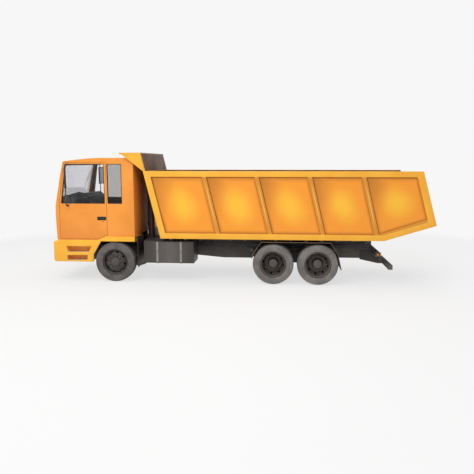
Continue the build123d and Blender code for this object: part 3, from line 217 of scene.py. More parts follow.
class Recipe(Graph):
    """A material's node tree, built round one surface shader."""

    def __init__(self, name: str) -> None:
        """Starts an empty tree with its shader and output.

        Args:
            name: the material's name.
        """
        self.material = bpy.data.materials.new(name)
        self.material.use_nodes = True
        super().__init__(self.material.node_tree)
        self.shader = self.add("ShaderNodeBsdfPrincipled")
        self.output = self.add("ShaderNodeOutputMaterial", {"Surface": self.shader.outputs["BSDF"]})
        self.where = self.add("ShaderNodeTexCoord").outputs["Object"]

    def split(self, place: object = None) -> list[Value]:
        """The three parts of a place, by default the surface's own."""
        node = self.add("ShaderNodeSeparateXYZ", {0: self.where if place is None else place})
        return [Value(self, part) for part in node.outputs]

    def noise(self, size: float, detail: float = 3.0, at: object = None) -> Value:
        """Soft noise whose blotches are about that size in metres."""
        given = {"Vector": self.where if at is None else at, "Scale": 1.0 / size, "Detail": detail}
        return Value(self, self.add("ShaderNodeTexNoise", given).outputs["Fac"])

    def cloud(self, size: float, detail: float, strength: float) -> Value:
        """Noise about zero."""
        return (self.noise(size, detail) - 0.5) * strength

    def wave(self, direction: str, pitch: float) -> Value:
        """Ridges across an axis, a pitch in metres apart."""
        given = {"Vector": self.where, "Scale": 0.314 / pitch}
        return Value(self, self.add("ShaderNodeTexWave", given, bands_direction=direction).outputs["Fac"])

    def span(self, value: object, low: float, high: float, to_low: float = 0.0, to_high: float = 1.0) -> Value:
        """A value's range mapped smoothly to another, held at its ends."""
        given = dict(enumerate((value, low, high, to_low, to_high)))
        return Value(self, self.add("ShaderNodeMapRange", given, interpolation_type="SMOOTHSTEP").outputs[0])

    def blend(self, share: object, first: object, second: object) -> NodeSocket:
        """A colour between two, by share of the second; a colour is a socket or a code."""
        pair = [linear(colour) if isinstance(colour, str) else colour for colour in (first, second)]
        return self.add("ShaderNodeMix", {0: share, 6: pair[0], 7: pair[1]}, data_type="RGBA").outputs[2]

    def bump(self, height: object, depth: float) -> None:
        """Raises the surface by a height pattern of that depth in metres."""
        node = self.add("ShaderNodeBump", {"Strength": 1.0, "Distance": depth, "Height": height})
        self.feed(self.shader.inputs["Normal"], node.outputs[0])


# finishes
@dataclass(frozen=True)
class Finish:
    """A coated or bare surface: two tones that drift, road dust low down, and a fine grain."""

    name: str
    slot: str
    colour: str
    deep: str = ""
    roughness: float = 0.4
    metallic: float = 0.0
    coat: float = 0.0
    drift_size: float = 0.6
    grain_size: float = 0.004
    grain_depth: float = 0.0002
    dust: float = 0.0
    dust_top: float = 1.1
    dust_colour: str = "8d8478"
    specular: float = 0.5

    def between(self, recipe: Recipe, share: object) -> NodeSocket:
        """The deep tone, and the full one by a share."""
        return recipe.blend(share, self.deep or self.colour, self.colour)

    def tone(self, recipe: Recipe) -> NodeSocket:
        """The surface's colour before dust."""
        return self.between(recipe, recipe.span(recipe.noise(self.drift_size, 4.0), 0.32, 0.68))

    def grain(self, recipe: Recipe) -> None:
        """The surface's fine relief."""
        recipe.bump(recipe.noise(self.grain_size, 2.0), self.grain_depth)

    def dress(self, recipe: Recipe) -> None:
        """Fills in the shader.

        Args:
            recipe: the tree that it fills.
        """
        tone = self.tone(recipe)
        if self.dust > 0:
            low = recipe.span(recipe.split()[2], 0.1, self.dust_top, self.dust, 0.0)
            patches = recipe.span(recipe.noise(0.18, 5.0), 0.3, 0.62, 0.35, 1.0)
            tone = recipe.blend(low * patches, tone, self.dust_colour)
        rough = recipe.span(recipe.noise(0.09, 4.0), 0.3, 0.7, self.roughness - 0.06, self.roughness + 0.08)
        recipe.give(recipe.shader, {
            "Base Color": tone, "Roughness": rough, "Metallic": self.metallic, "Coat Weight": self.coat,
            "Coat Roughness": 0.12, "Specular IOR Level": self.specular,
        })
        self.grain(recipe)

    def material(self) -> Material:
        """The finish as a material, made once.

        Returns:
            The material.
        """
        name = f"{self.name}_finish"
        found = bpy.data.materials.get(name)
        if found is None:
            recipe = Recipe(name)
            self.dress(recipe)
            found = recipe.material
        return found


@dataclass(frozen=True)
class PressedPaint(Finish):
    """Body paint on a pressed panel with painted light: a painted glow in its middle, painted shade towards its upper
    front corner and border, and painted shade lines along its edges.
    """

    # The edge colour is the painted shade at the upper front corner and border; the next colour is that of the painted
    # shade lines along the edges.
    edge: str = "c67f2d"
    seam: str = "7a4a1f"
    seam_width: float = 0.002
    borders: tuple[float, ...] = (0.08, 0.1, 0.05, 0.05)
    seams: tuple[float, ...] = (0.6, 0.6, 0.2, 0.35)

    def tone(self, recipe: Recipe) -> NodeSocket:
        """Painted glow in the middle of each panel, painted shade towards its upper front corner and its border, and
        painted shade lines at its edges.

        Args:
            recipe: the tree.

        Returns:
            The colour.
        """
        place = recipe.add("ShaderNodeUVMap", uv_map="panel").outputs[0]
        u, v, _ = recipe.split(place)
        apart = recipe.add("ShaderNodeVectorMath", {0: place, 1: (0.5, 0.52, 0.0)}, operation="DISTANCE")
        cloud = recipe.cloud(0.5, 4.0, 0.22)
        # Painted glow, brightest in the middle of the panel.
        painted_glow = self.between(recipe, recipe.span(cloud + apart.outputs["Value"], 0.04, 0.45, 1.0, 0.0))
        # Painted shade towards the upper front corner and along the border.
        shade = recipe.span(u + v * 0.55 + cloud, 0.0, 0.62, 0.85, 0.0)
        edges = (u, v, 1.0 - u, 1.0 - v)
        border_shades = [recipe.span(edge, 0.0, reach, 0.55, 0.0) for edge, reach in zip(edges, self.borders)]
        shaded = recipe.blend(recipe.most(shade, *border_shades), painted_glow, self.edge)
        # Painted shade lines along the edges, strongest at the front and top.
        seam_shade_lines = [(edge < self.seam_width) * depth for edge, depth in zip(edges, self.seams)]
        return recipe.blend(recipe.most(*seam_shade_lines), shaded, self.seam)


@dataclass(frozen=True)
class RailPaint(Finish):
    """Body paint, full on the outer rails and darker on the ribs between the panels, with a painted highlight line down
    each rib.

    A line on the side is given as the X (or Z) where it starts and its slope.
    """

    rib: str = "eda244"
    # The bead colour is a painted highlight line down the middle of each rib.
    bead: str = "ffc968"
    first_rib: float = 0.871
    pitch: float = 1.307
    low: float = 1.296
    top: float = 2.716
    edge: float = 0.004
    rake: float = 0.2453
    front: float = 1.860
    tail_rake: float = 0.2746
    tail: float = -4.310
    scow_slope: float = 0.3117
    scow: float = 0.1925

    def tone(self, recipe: Recipe) -> NodeSocket:
        """The rails' tone, and the ribs' inside the frame of rails, with a painted highlight line down each rib.

        Args:
            recipe: the tree.

        Returns:
            The colour.
        """
        x, _, z = recipe.split()
        level = (z > self.low + self.edge) * (z < self.top - self.edge)
        ahead = x - (z - self.low) * self.rake < self.front
        behind = x - (z - self.top) * self.tail_rake > self.tail
        above = z + x * self.scow_slope > self.scow
        place = recipe.calc("PINGPONG", x - (z - self.top) * self.rake - self.first_rib, self.pitch / 2)
        # Painted highlight line down the middle of each rib, fading towards its ends.
        rib_highlight = recipe.span(place, 0.004, 0.016, 0.8, 0.0) * recipe.span(abs(z - 2.05), 0.2, 0.62, 1.0, 0.0)
        ribbed = recipe.blend(rib_highlight, self.rib, self.bead)
        return recipe.blend(level * ahead * behind * above, super().tone(recipe), ribbed)


@dataclass(frozen=True)
class GrimyPaint(Finish):
    """Paint with painted shade that deepens towards the lorry's middle."""

    def tone(self, recipe: Recipe) -> NodeSocket:
        """Paint at the sides, painted shade towards the middle."""
        return self.between(recipe, recipe.span(abs(recipe.split()[1]) + recipe.cloud(0.4, 5.0, 0.5), 0.1, 1.0))


@dataclass(frozen=True)
class BandedSteel(Finish):
    """Steel with a painted highlight halfway along and painted shade towards its ends."""

    middle: float = 0.0
    reach: float = 0.6

    def tone(self, recipe: Recipe) -> NodeSocket:
        """Painted highlight at the middle's X, painted shade towards the ends."""
        apart = abs(recipe.split()[0] - self.middle) + recipe.cloud(0.3, 4.0, 0.3)
        return self.between(recipe, recipe.span(apart, 0.0, self.reach, 1.0, 0.0))


@dataclass(frozen=True)
class Glazing(Finish):
    """Clear sheet glass."""

    def dress(self, recipe: Recipe) -> None:
        """Thin glass that lets light through with a faint tint.

        Args:
            recipe: the tree.
        """
        recipe.tree.nodes.remove(recipe.shader)
        clear = recipe.add("ShaderNodeBsdfTransparent", {0: linear(self.colour)})
        gloss = recipe.add("ShaderNodeBsdfGlossy", {"Roughness": 0.03})
        edge = Value(recipe, recipe.add("ShaderNodeFresnel", {"IOR": 1.45}).outputs[0])
        recipe.give(recipe.output, {"Surface": recipe.mix(edge * 0.6, clear, gloss)})


@dataclass(frozen=True)
class Lens(Finish):
    """Coloured or clear lamp plastic with moulded flutes."""

    flute: float = 0.02

    def tone(self, recipe: Recipe) -> NodeSocket:
        """Darker between the flutes."""
        return self.between(recipe, recipe.wave("Y", self.flute))


@dataclass(frozen=True)
class Rubber(Finish):
    """Tyre rubber: dusty, greyer where the road rubs it."""

    def tone(self, recipe: Recipe) -> NodeSocket:
        """Grey dust over dark rubber, in streaks and blotches."""
        return self.between(recipe, recipe.span(recipe.noise(0.03, 5.0) + recipe.noise(0.22, 3.0), 0.75, 1.25))


@dataclass(frozen=True)
class Weave(Finish):
    """Woven seat cloth with crossing threads."""

    thread: float = 0.003

    def grain(self, recipe: Recipe) -> None:
        """Threads that cross, as relief."""
        x, y, z = (recipe.wave(direction, self.thread) for direction in "XYZ")
        recipe.bump(x + y + z, self.grain_depth)

    def dress(self, recipe: Recipe) -> None:
        """Cloth with a soft sheen."""
        super().dress(recipe)
        recipe.give(recipe.shader, {"Sheen Weight": 0.35, "Sheen Roughness": 0.5})


@dataclass(frozen=True)
class WornPaint(Finish):
    """Paint rubbed and scratched down to brown steel by what is carried, in a dark brown that is also painted shade."""

    def tone(self, recipe: Recipe) -> NodeSocket:
        """Long scratches and rubbed patches over the paint."""
        long = recipe.add("ShaderNodeMapping", {"Vector": recipe.where, "Scale": (0.25, 1.0, 1.0)}).outputs[0]
        return self.between(recipe, recipe.span(recipe.noise(0.05, 6.0, long) + recipe.noise(0.5, 4.0), 0.85, 1.2))


PAINT = {"coat": 0.05, "grain_size": 0.012, "grain_depth": 0.00008, "specular": 0.3}
# Settings for lighter copies of the paints on rounded edges, which are painted highlights.
EDGE_HIGHLIGHT = {"coat": 0.1, "grain_depth": 0.0001, "specular": 0.35}
STEEL = {"grain_size": 0.006, "dust_top": 1.1}
ROAD = {"metallic": 0.1, "grain_size": 0.008, "dust_top": 0.9}
CAB_PAINT = Finish("cab_paint", "body_paint", "f59d40", "ee943a", 0.45, dust=0.1, dust_top=1.5, **PAINT)
# Lighter copy of the cab paint for rounded edges, drip rails and hinges: painted highlight.
CAB_EDGE_HIGHLIGHT = Finish("cab_paint_edge", "body_paint", "fbac4c", "f4a243", 0.42, dust=0.08, dust_top=1.5, **EDGE_HIGHLIGHT)
# Painted shade on the cab's rear faces, deepest towards the middle.
CAB_REAR_SHADE = GrimyPaint(
    "cab_rear_paint", "body_paint", "f59a38", "b8784e", 0.62, grain_size=0.012, grain_depth=0.0001, specular=0.3,
)
# Rail paint with darker ribs and a painted highlight line down each rib.
RAIL = RailPaint("body_paint", "body_paint", "fab93c", "f6ae36", 0.42, dust=0.06, dust_top=1.5, rib="d98f32", **PAINT)
# Lighter copy of the rail paint for rounded edges: painted highlight.
RAIL_EDGE_HIGHLIGHT = Finish("body_paint_edge", "body_paint", "fdc24c", "f8b742", 0.42, dust=0.06, dust_top=1.5, **EDGE_HIGHLIGHT)
# Panel paint with a painted glow in the middle and painted shade at the corner, border and edges.
PANEL = PressedPaint("body_paint_panel", "body_paint", "fdbf38", "f99d30", 0.42, edge="bf7826", **PAINT)
FASCIA = Finish(
    "fascia_paint", "bumper_paint", "fcbf3c", "f8b338", 0.42, coat=0.05, grain_size=0.01, grain_depth=0.0001, dust=0.12,
    dust_top=0.9, specular=0.3,
)
# Lighter copy of the bumper paint for rounded edges: painted highlight.
FASCIA_EDGE_HIGHLIGHT = Finish("fascia_paint_edge", "bumper_paint", "fecb55", "fabd46", 0.42, dust=0.08, dust_top=0.9, **EDGE_HIGHLIGHT)
# Step pockets in a paler tone than the bumper: painted light that offsets the shade inside them.
STEP_RECESS_LIGHT = Finish("step_recess_paint", "bumper_paint", "ffbc68", "f0a452", 0.6, dust=0.1, dust_top=1.0, specular=0.3)
# Dark brown of the load space and the canopy's underside: wear and painted shade.
WORN_AND_SHADED = WornPaint("load_space_paint", "body_paint", "7a5540", "503829", 0.65, grain_size=0.02, grain_depth=0.0006)
CHASSIS = Finish("chassis_paint", "chassis_paint", "504b47", "3e3a37", 0.6, dust=0.3, **STEEL)
# Darker copy of the chassis paint for the subframe under the body: painted shade.
SUBFRAME_SHADE = Finish("subframe_paint", "chassis_paint", "2f2b29", "252221", 0.6, dust=0.1, **STEEL)
# Tank steel with a painted highlight across the middle of the fuel tank and painted shade towards its ends.
TANK = BandedSteel(
    "tank_steel", "tank_steel", "5c5855", "383432", 0.5, 0.1, dust=0.12, dust_top=1.0, middle=1.79, reach=0.62,
)
# Darker copy of the tank steel for the tanks' tops: painted shade.
TANK_TOP_SHADE = Finish("tank_top_steel", "tank_steel", "2c2926", "211f1d", 0.6, dust=0.1, **STEEL)
STRAP = Finish("strap_steel", "tank_steel", "99948f", "86817c", 0.45, 0.1, dust=0.2, dust_top=1.0)
PLASTIC = Finish(
    "black_plastic", "black_plastic", "2b2a2b", "232223", 0.55, grain_size=0.0025, grain_depth=0.00025, dust=0.15,
    dust_top=1.2,
)
GUARD = Finish(
    "guard_plastic", "black_plastic", "362b26", "2a2220", 0.6, grain_size=0.003, grain_depth=0.0003, dust=0.12,
    dust_top=0.9,
)
# Lighter rolled edge of the mudguards: painted highlight.
GUARD_EDGE_HIGHLIGHT = Finish("guard_edge", "black_plastic", "7a6650", "5e4f40", 0.6)
LINING = Finish("cab_lining", "cab_lining", "4a4c4b", "3c3e3d", 0.7, grain_size=0.003, grain_depth=0.0003)
RUBBER_SEAL = Finish("window_rubber", "black_plastic", "1d1c1d", "161516", 0.6)
TYRE = Rubber("tyre_rubber", "tyre_rubber", "827e7b", "65615e", 0.85, grain_size=0.006, grain_depth=0.0005)
STEER_TYRE = Rubber("steer_tyre_rubber", "tyre_rubber", "6c6865", "504c4a", 0.85, grain_size=0.006, grain_depth=0.0005)
WHEEL = Finish("wheel_paint", "wheel_paint", "322e2c", "252221", 0.5, dust=0.12, **ROAD)
# Lighter copy of the wheel paint for the deep-dished twin wheels: painted light against the shade in the dish.
DUAL_WHEEL_LIGHT = Finish("dual_wheel_paint", "wheel_paint", "524b48", "3f3a37", 0.5, dust=0.14, **ROAD)
HUB = Finish("hub_metal", "wheel_paint", "56514e", "454140", 0.45, 0.2, grain_size=0.006, dust=0.14, dust_top=0.9)
# Dark ring on the tyre's inner sidewall next to the rim: painted shade that widens the rim's shadowed dish.
TYRE_INNER_SHADE = Finish("rim_edge", "tyre_rubber", "2b2826", "211e1d", 0.55, grain_size=0.006)
ENGINE = Finish(
    "engine_metal", "engine_metal", "4a4a4b", "363636", 0.5, 0.4, grain_size=0.01, grain_depth=0.0006, dust=0.4,
)
CHROME = Finish("hoist_steel", "hoist_steel", "b9bbbd", "a5a7aa", 0.2, 0.9, grain_size=0.003, grain_depth=0.00004)
BARREL = Finish("hoist_barrel_paint", "hoist_steel", "4d342a", "35241e", 0.5, dust=0.1, **STEEL)
BOLT = Finish("bolt_steel", "chassis_paint", "625e5b", "4d4a47", 0.5, 0.2, grain_size=0.003)
SEAT = Weave("seat_cloth", "seat_cloth", "3d4550", "303741", 0.85, grain_depth=0.0008)
SEAT_SIDE = Weave("seat_side_cloth", "seat_cloth", "6a6f76", "5c6168", 0.85, grain_depth=0.0008)
GLASS = Glazing("glass", "glass", "fbfbfc")
TINTED = Glazing("tinted_glass", "glass", "d8d7d6")
# Mauve-brown on the headboard's front, in the gap behind the cab: painted shade.
HEADBOARD_FRONT_SHADE = Finish("headboard_front_paint", "body_paint", "a8705c", "8a5a4a", 0.6, grain_size=0.01, specular=0.3)
CLEAR = Lens("lamp_clear", "lamp_clear", "e9ecec", "c9cccd", 0.12, coat=0.8, grain_depth=0.0)
REFLECTOR = Finish("lamp_reflector", "lamp_clear", "dfe2e4", "d0d3d6", 0.08, 1.0, grain_depth=0.0)
RED = Lens("lamp_red", "lamp_red", "c3261c", "7d130d", 0.2, coat=0.8)
AMBER = Lens("lamp_amber", "lamp_red", "f08a1c", "b45a0c", 0.2, coat=0.8)
PLATE = Finish("blank_plate", "cab_lining", "e4e1d4", "d9d6c8", 0.4, grain_size=0.006)
MIRROR_GLASS = Finish("mirror_glass", "black_plastic", "868c90", "7e8488", 0.04, 1.0, grain_depth=0.0)
Zone = tuple[Callable[[Vector, Vector], bool], Finish]


# pieces
def placed(name: str, data: ID) -> Object:
    """A new object in the scene.

    Args:
        name: its name.
        data: what it shows.

    Returns:
        The object.
    """
    made = bpy.data.objects.new(name, data)
    bpy.context.scene.collection.objects.link(made)
    return made


def plain_mesh(made: Object) -> Object:
    """The object with its modifiers worked into its mesh.

    Args:
        made: the object.

    Returns:
        The same object.
    """
    bpy.context.view_layer.update()
    graph = bpy.context.evaluated_depsgraph_get()
    mesh = bpy.data.meshes.new_from_object(made.evaluated_get(graph), depsgraph=graph)
    made.modifiers.clear()
    made.data = mesh
    return made


def mesh_of(work: BMesh, name: str) -> Mesh:
    """A finished edit as a mesh.

    Args:
        work: the edit, which ends here.
        name: the mesh's name.

    Returns:
        The mesh.
    """
    mesh = bpy.data.meshes.new(name)
    work.to_mesh(mesh)
    work.free()
    return mesh


def walled(mesh: Mesh, thickness: float) -> Mesh:
    """A sheet given its thickness, away from the way it faces.

    Args:
        mesh: the sheet.
        thickness: of the wall.

    Returns:
        The closed mesh.
    """
    made = placed(mesh.name, mesh)
    wall = made.modifiers.new("wall", "SOLIDIFY")
    wall.thickness = thickness
    wall.offset = -1.0
    result = plain_mesh(made).data
    bpy.data.objects.remove(made)
    return result


def finish_piece(
    mesh: Mesh, name: str, looks: Sequence[Finish], bevel: float = 0.0, body: str = "chassis",
    stands_for: Iterable[str] = (), edge_look: int = -1, smooth: float = 38.0,
) -> Object:
    """Turns a mesh into a finished piece that rides on a body.

    Args:
        mesh: the mesh, in place.
        name: the piece's name.
        looks: its finishes, by material index.
        bevel: width its sharp edges are rounded by, in metres.
        body: the CAD body it rides on.
        stands_for: CAD nodes that it replaces.
        edge_look: material index of the rounded edges, or -1 for their own.
        smooth: edges flatter than this many degrees shade as one surface.

    Returns:
        The finished object.
    """
    made = placed(name, mesh)
    for look in looks:
        mesh.materials.append(look.material())
    if bevel > 0:
        rounding = made.modifiers.new("edges", "BEVEL")
        rounding.width = bevel
        rounding.segments = 2
        rounding.limit_method = "ANGLE"
        rounding.angle_limit = math.radians(smooth)
        rounding.material = edge_look
        rounding.use_clamp_overlap = True
        made = plain_mesh(made)
    made.data.shade_smooth()
    made.data.set_sharp_from_angle(angle=math.radians(smooth))
    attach(made, body)
    if stands_for:
        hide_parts(*stands_for)
    LOG.info("%s: %d faces on %s", name, len(made.data.polygons), body)
    return made


def softened(
    node: str, look: Finish, bevel: float = 0.004, edge: Finish | None = None, zones: Sequence[Zone] = (),
) -> Object:
    """A copy of a CAD node with rounded edges, which stands for it.

    Args:
        node: the CAD node.
        look: its finish.
        bevel: width of the rounded edges.
        edge: finish of the rounded edges, where it differs.
        zones: tests of a face's middle and normal, each with the finish of the faces that pass; the last one wins.

    Returns:
        The piece.
    """
    work = bmesh.new()
    work.from_mesh(frame["nodes"][node].data)
    bmesh.ops.remove_doubles(work, verts=work.verts, dist=2e-5)
    bmesh.ops.dissolve_limit(work, angle_limit=math.radians(0.8), verts=work.verts, edges=work.edges)
    for face in work.faces:
        face.material_index = 0
        for k, (test, _) in enumerate(zones):
            if test(face.calc_center_median(), face.normal):
                face.material_index = k + 1
    looks = [look] + [zone[1] for zone in zones] + ([edge] if edge else [])
    edge_look = len(looks) - 1 if edge else -1
    return finish_piece(
        mesh_of(work, node), f"{node}_shape", looks, bevel, NODE_BODY[node], stands_for=(node,), edge_look=edge_look,
    )


def inset(outline: Sequence[Point2], by: float) -> list[Point2]:
    """An outline moved inwards by a distance, corner by corner.

    Args:
        outline: corners in order, either way round.
        by: distance inwards; negative moves outwards.

    Returns:
        The moved corners.
    """
    area = sum(a[0] * b[1] - b[0] * a[1] for a, b in zip(outline, list(outline[1:]) + [outline[0]]))
    turn = 1.0 if area > 0 else -1.0
    moved = []
    for k, corner in enumerate(outline):
        before = Vector(corner) - Vector(outline[k - 1])
        after = Vector(outline[(k + 1) % len(outline)]) - Vector(corner)
        n1 = Vector((-before.y, before.x)).normalized() * turn
        n2 = Vector((-after.y, after.x)).normalized() * turn
        middle = (n1 + n2).normalized()
        moved.append(tuple(Vector(corner) + middle * (by / max(0.2, middle.dot(n1)))))
    return moved


def bend(before: Vector, corner: Vector, after: Vector, radius: float, steps: int, share: float) -> list[Vector]:
    """Points round a corner.

    Args:
        before: the corner before it.
        corner: the corner itself.
        after: the corner after it.
        radius: how far from the corner the bend starts.
        steps: parts of the bend.
        share: what a leg's length is divided by for the bend's largest reach.

    Returns:
        The bend's points, ends included.
    """
    legs = (before - corner, after - corner)
    a, b = (corner + leg.normalized() * min(radius, leg.length / share) for leg in legs)
    return [a * (1 - t) ** 2 + corner * 2 * t * (1 - t) + b * t**2 for t in (k / steps for k in range(steps + 1))]


def curve_points(corners: Sequence[Point3], radius: float, steps: int = 6) -> list[Vector]:
    """A path through corners with each corner rounded.

    Args:
        corners: the corners.
        radius: how far from its corner a bend starts.
        steps: parts of a bend.

    Returns:
        The path's points.
    """
    spots = [Vector(p) for p in corners]
    path = [spots[0]]
    for before, corner, after in zip(spots, spots[1:], spots[2:]):
        path += bend(before, corner, after, radius, steps, 2)
    return path + [spots[-1]]


def rounded(outline: Sequence[Point2], radius: float, steps: int = 5) -> list[Point2]:
    """A closed outline with each corner rounded.

    Args:
        outline: the corners.
        radius: how far from its corner a bend starts.
        steps: parts of a bend.

    Returns:
        The outline's points.
    """
    spots = [Vector(p) for p in outline]
    path = []
    for k, corner in enumerate(spots):
        path += [tuple(p) for p in bend(spots[k - 1], corner, spots[(k + 1) % len(spots)], radius, steps, 2.01)]
    return path


def oblong(centre: Point2, width: float, height: float, radius: float) -> list[Point2]:
    """An outline of a box with rounded corners.

    Args:
        centre: its middle.
        width: its first size.
        height: its second.
        radius: of its corners.

    Returns:
        The outline.
    """
    w, h = width / 2, height / 2
    corners = [(centre[0] + a * w, centre[1] + b * h) for a, b in ((-1, -1), (1, -1), (1, 1), (-1, 1))]
    return rounded(corners, radius)


def skin(work: BMesh, rings: Sequence[Sequence[BMVert]], look: int = 0) -> None:
    """Faces between each closed ring of points and the next.

    Args:
        work: the mesh.
        rings: the rings in order.
        look: the finish by number.
    """
    for near, far in zip(rings, rings[1:]):
        for k in range(len(near)):
            n = (k + 1) % len(near)
            work.faces.new((near[k], near[n], far[n], far[k])).material_index = look


class Blank:
    """Closed forms gathered into one mesh, before it becomes a piece."""

    def __init__(self) -> None:
        """Starts with nothing."""
        self.work = bmesh.new()

    def prism(self, outline: Sequence[Point2], axis: Axis, start: float, end: float, look: int = 0) -> None:
        """An outline carried along an axis, closed at both ends.

        Args:
            outline: its corners.
            axis: the way it is carried.
            start: one end.
            end: the other end.
            look: the finish by number.
        """
        ends = [[self.work.verts.new(axis.place(a, b, d)) for a, b in outline] for d in (start, end)]
        faces = [self.work.faces.new(ends[0]), self.work.faces.new(list(reversed(ends[1])))]
        for k in range(len(outline)):
            n = (k + 1) % len(outline)
            faces.append(self.work.faces.new((ends[0][n], ends[0][k], ends[1][k], ends[1][n])))
        for made in faces:
            made.material_index = look

    def across(self, side: Side, outline: Sequence[Point2], start: float, end: float, look: int = 0) -> None:
        """A side view carried outwards between two distances out on a side."""
        self.prism(outline, Axis.ACROSS, side.y(start), side.y(end), look)

    def block(self, low: Point3, high: Point3, look: int = 0) -> None:
        """A square-edged block between two corners."""
        outline = ((low[0], low[2]), (high[0], low[2]), (high[0], high[2]), (low[0], high[2]))
        self.prism(outline, Axis.ACROSS, low[1], high[1], look)

    def frame_ring(
        self, outline: Sequence[Point2], width: float, axis: Axis, start: float, end: float, look: int = 0,
    ) -> None:
        """A flat frame that runs inwards from an outline by a width.

        Args:
            outline: its outer edge.
            width: of the frame.
            axis: the way it faces.
            start: one face.
            end: the other face.
            look: the finish by number.
        """
        inner = inset(outline, width)
        count = len(outline)
        rings = [
            [self.work.verts.new(axis.place(a, b, d)) for a, b in points]
            for d in (start, end) for points in (outline, inner)
        ]
        outer_a, inner_a, outer_b, inner_b = rings
        for k in range(count):
            n = (k + 1) % count
            for quad in (
                (outer_a[k], outer_a[n], inner_a[n], inner_a[k]), (outer_b[n], outer_b[k], inner_b[k], inner_b[n]),
                (outer_a[n], outer_a[k], outer_b[k], outer_b[n]), (inner_a[k], inner_a[n], inner_b[n], inner_b[k]),
            ):
                self.work.faces.new(quad).material_index = look

    def ring_across(self, side: Side, outline: Sequence[Point2], width: float, start: float, end: float) -> None:
        """A frame seen from the side, between two distances out on a side."""
        self.frame_ring(outline, width, Axis.ACROSS, side.y(start), side.y(end))

    def turned(
        self, profile: Sequence[Point2], origin: Point3, aim: Point3, steps: int = 48, closed: bool = False,
        look: int = 0,
    ) -> None:
        """A profile spun about an axis.

        Args:
            profile: distance along the axis and radius, from one end to the other.
            origin: where the axis starts.
            aim: the axis's direction.
            steps: how many parts the turn has.
            closed: whether the profile is a loop rather than a line that ends on the axis.
            look: material index.
        """
        axis = Vector(aim).normalized()
        side = axis.orthogonal().normalized()
        up = axis.cross(side)
        rings = []
        for along, radius in profile:
            centre = Vector(origin) + axis * along
            if radius < 1e-6:
                rings.append([self.work.verts.new(centre)])
                continue
            rings.append([
                self.work.verts.new(centre + (side * math.cos(t) + up * math.sin(t)) * radius)
                for t in (2 * math.pi * k / steps for k in range(steps))
            ])
        pairs = list(zip(rings, rings[1:])) + ([(rings[-1], rings[0])] if closed else [])
        for near, far in pairs:
            for k in range(steps):
                n = (k + 1) % steps
                corners = [near[k % len(near)], near[n % len(near)], far[n % len(far)], far[k % len(far)]]
                unique = list(dict.fromkeys(corners))
                if len(unique) > 2:
                    self.work.faces.new(unique).material_index = look

    def tube(self, path: Sequence[Point3], radius: float, steps: int = 12, look: int = 0) -> None:
        """A round bar along a path, closed at both ends.

        Args:
            path: its middle line.
            radius: of the bar.
            steps: corners round it.
            look: the finish by number.
        """
        points = [Vector(p) for p in path]
        side = None
        rings = []
        for k, point in enumerate(points):
            ahead = (points[min(k + 1, len(points) - 1)] - points[max(k - 1, 0)]).normalized()
            side = ahead.orthogonal() if side is None else side - ahead * side.dot(ahead)
            side.normalize()
            up = ahead.cross(side)
            rings.append([
                self.work.verts.new(point + (side * math.cos(t) + up * math.sin(t)) * radius)
                for t in (2 * math.pi * n / steps for n in range(steps))
            ])
        skin(self.work, rings, look)
        self.work.faces.new(list(reversed(rings[0]))).material_index = look
        self.work.faces.new(rings[-1]).material_index = look

    def piece(
        self, name: str, looks: Finish | Sequence[Finish], bevel: float = 0.0, body: str = "chassis", slot: str = "",
        stands_for: Iterable[str] = (), smooth: float = 38.0,
    ) -> Object:
        """Closes the mesh, points its faces outwards and finishes it.

        Args:
            name: its name.
            looks: its finishes, by number.
            bevel: of its edges.
            body: what it rides on.
            slot: not used.
            stands_for: CAD nodes it replaces.
            smooth: edges under this angle are smooth.

        Returns:
            The piece.
        """
        bmesh.ops.remove_doubles(self.work, verts=self.work.verts, dist=1e-6)
        bmesh.ops.recalc_face_normals(self.work, faces=self.work.faces)
        kinds = [looks] if isinstance(looks, Finish) else list(looks)
        return finish_piece(mesh_of(self.work, name), name, kinds, bevel, body, stands_for, smooth=smooth)


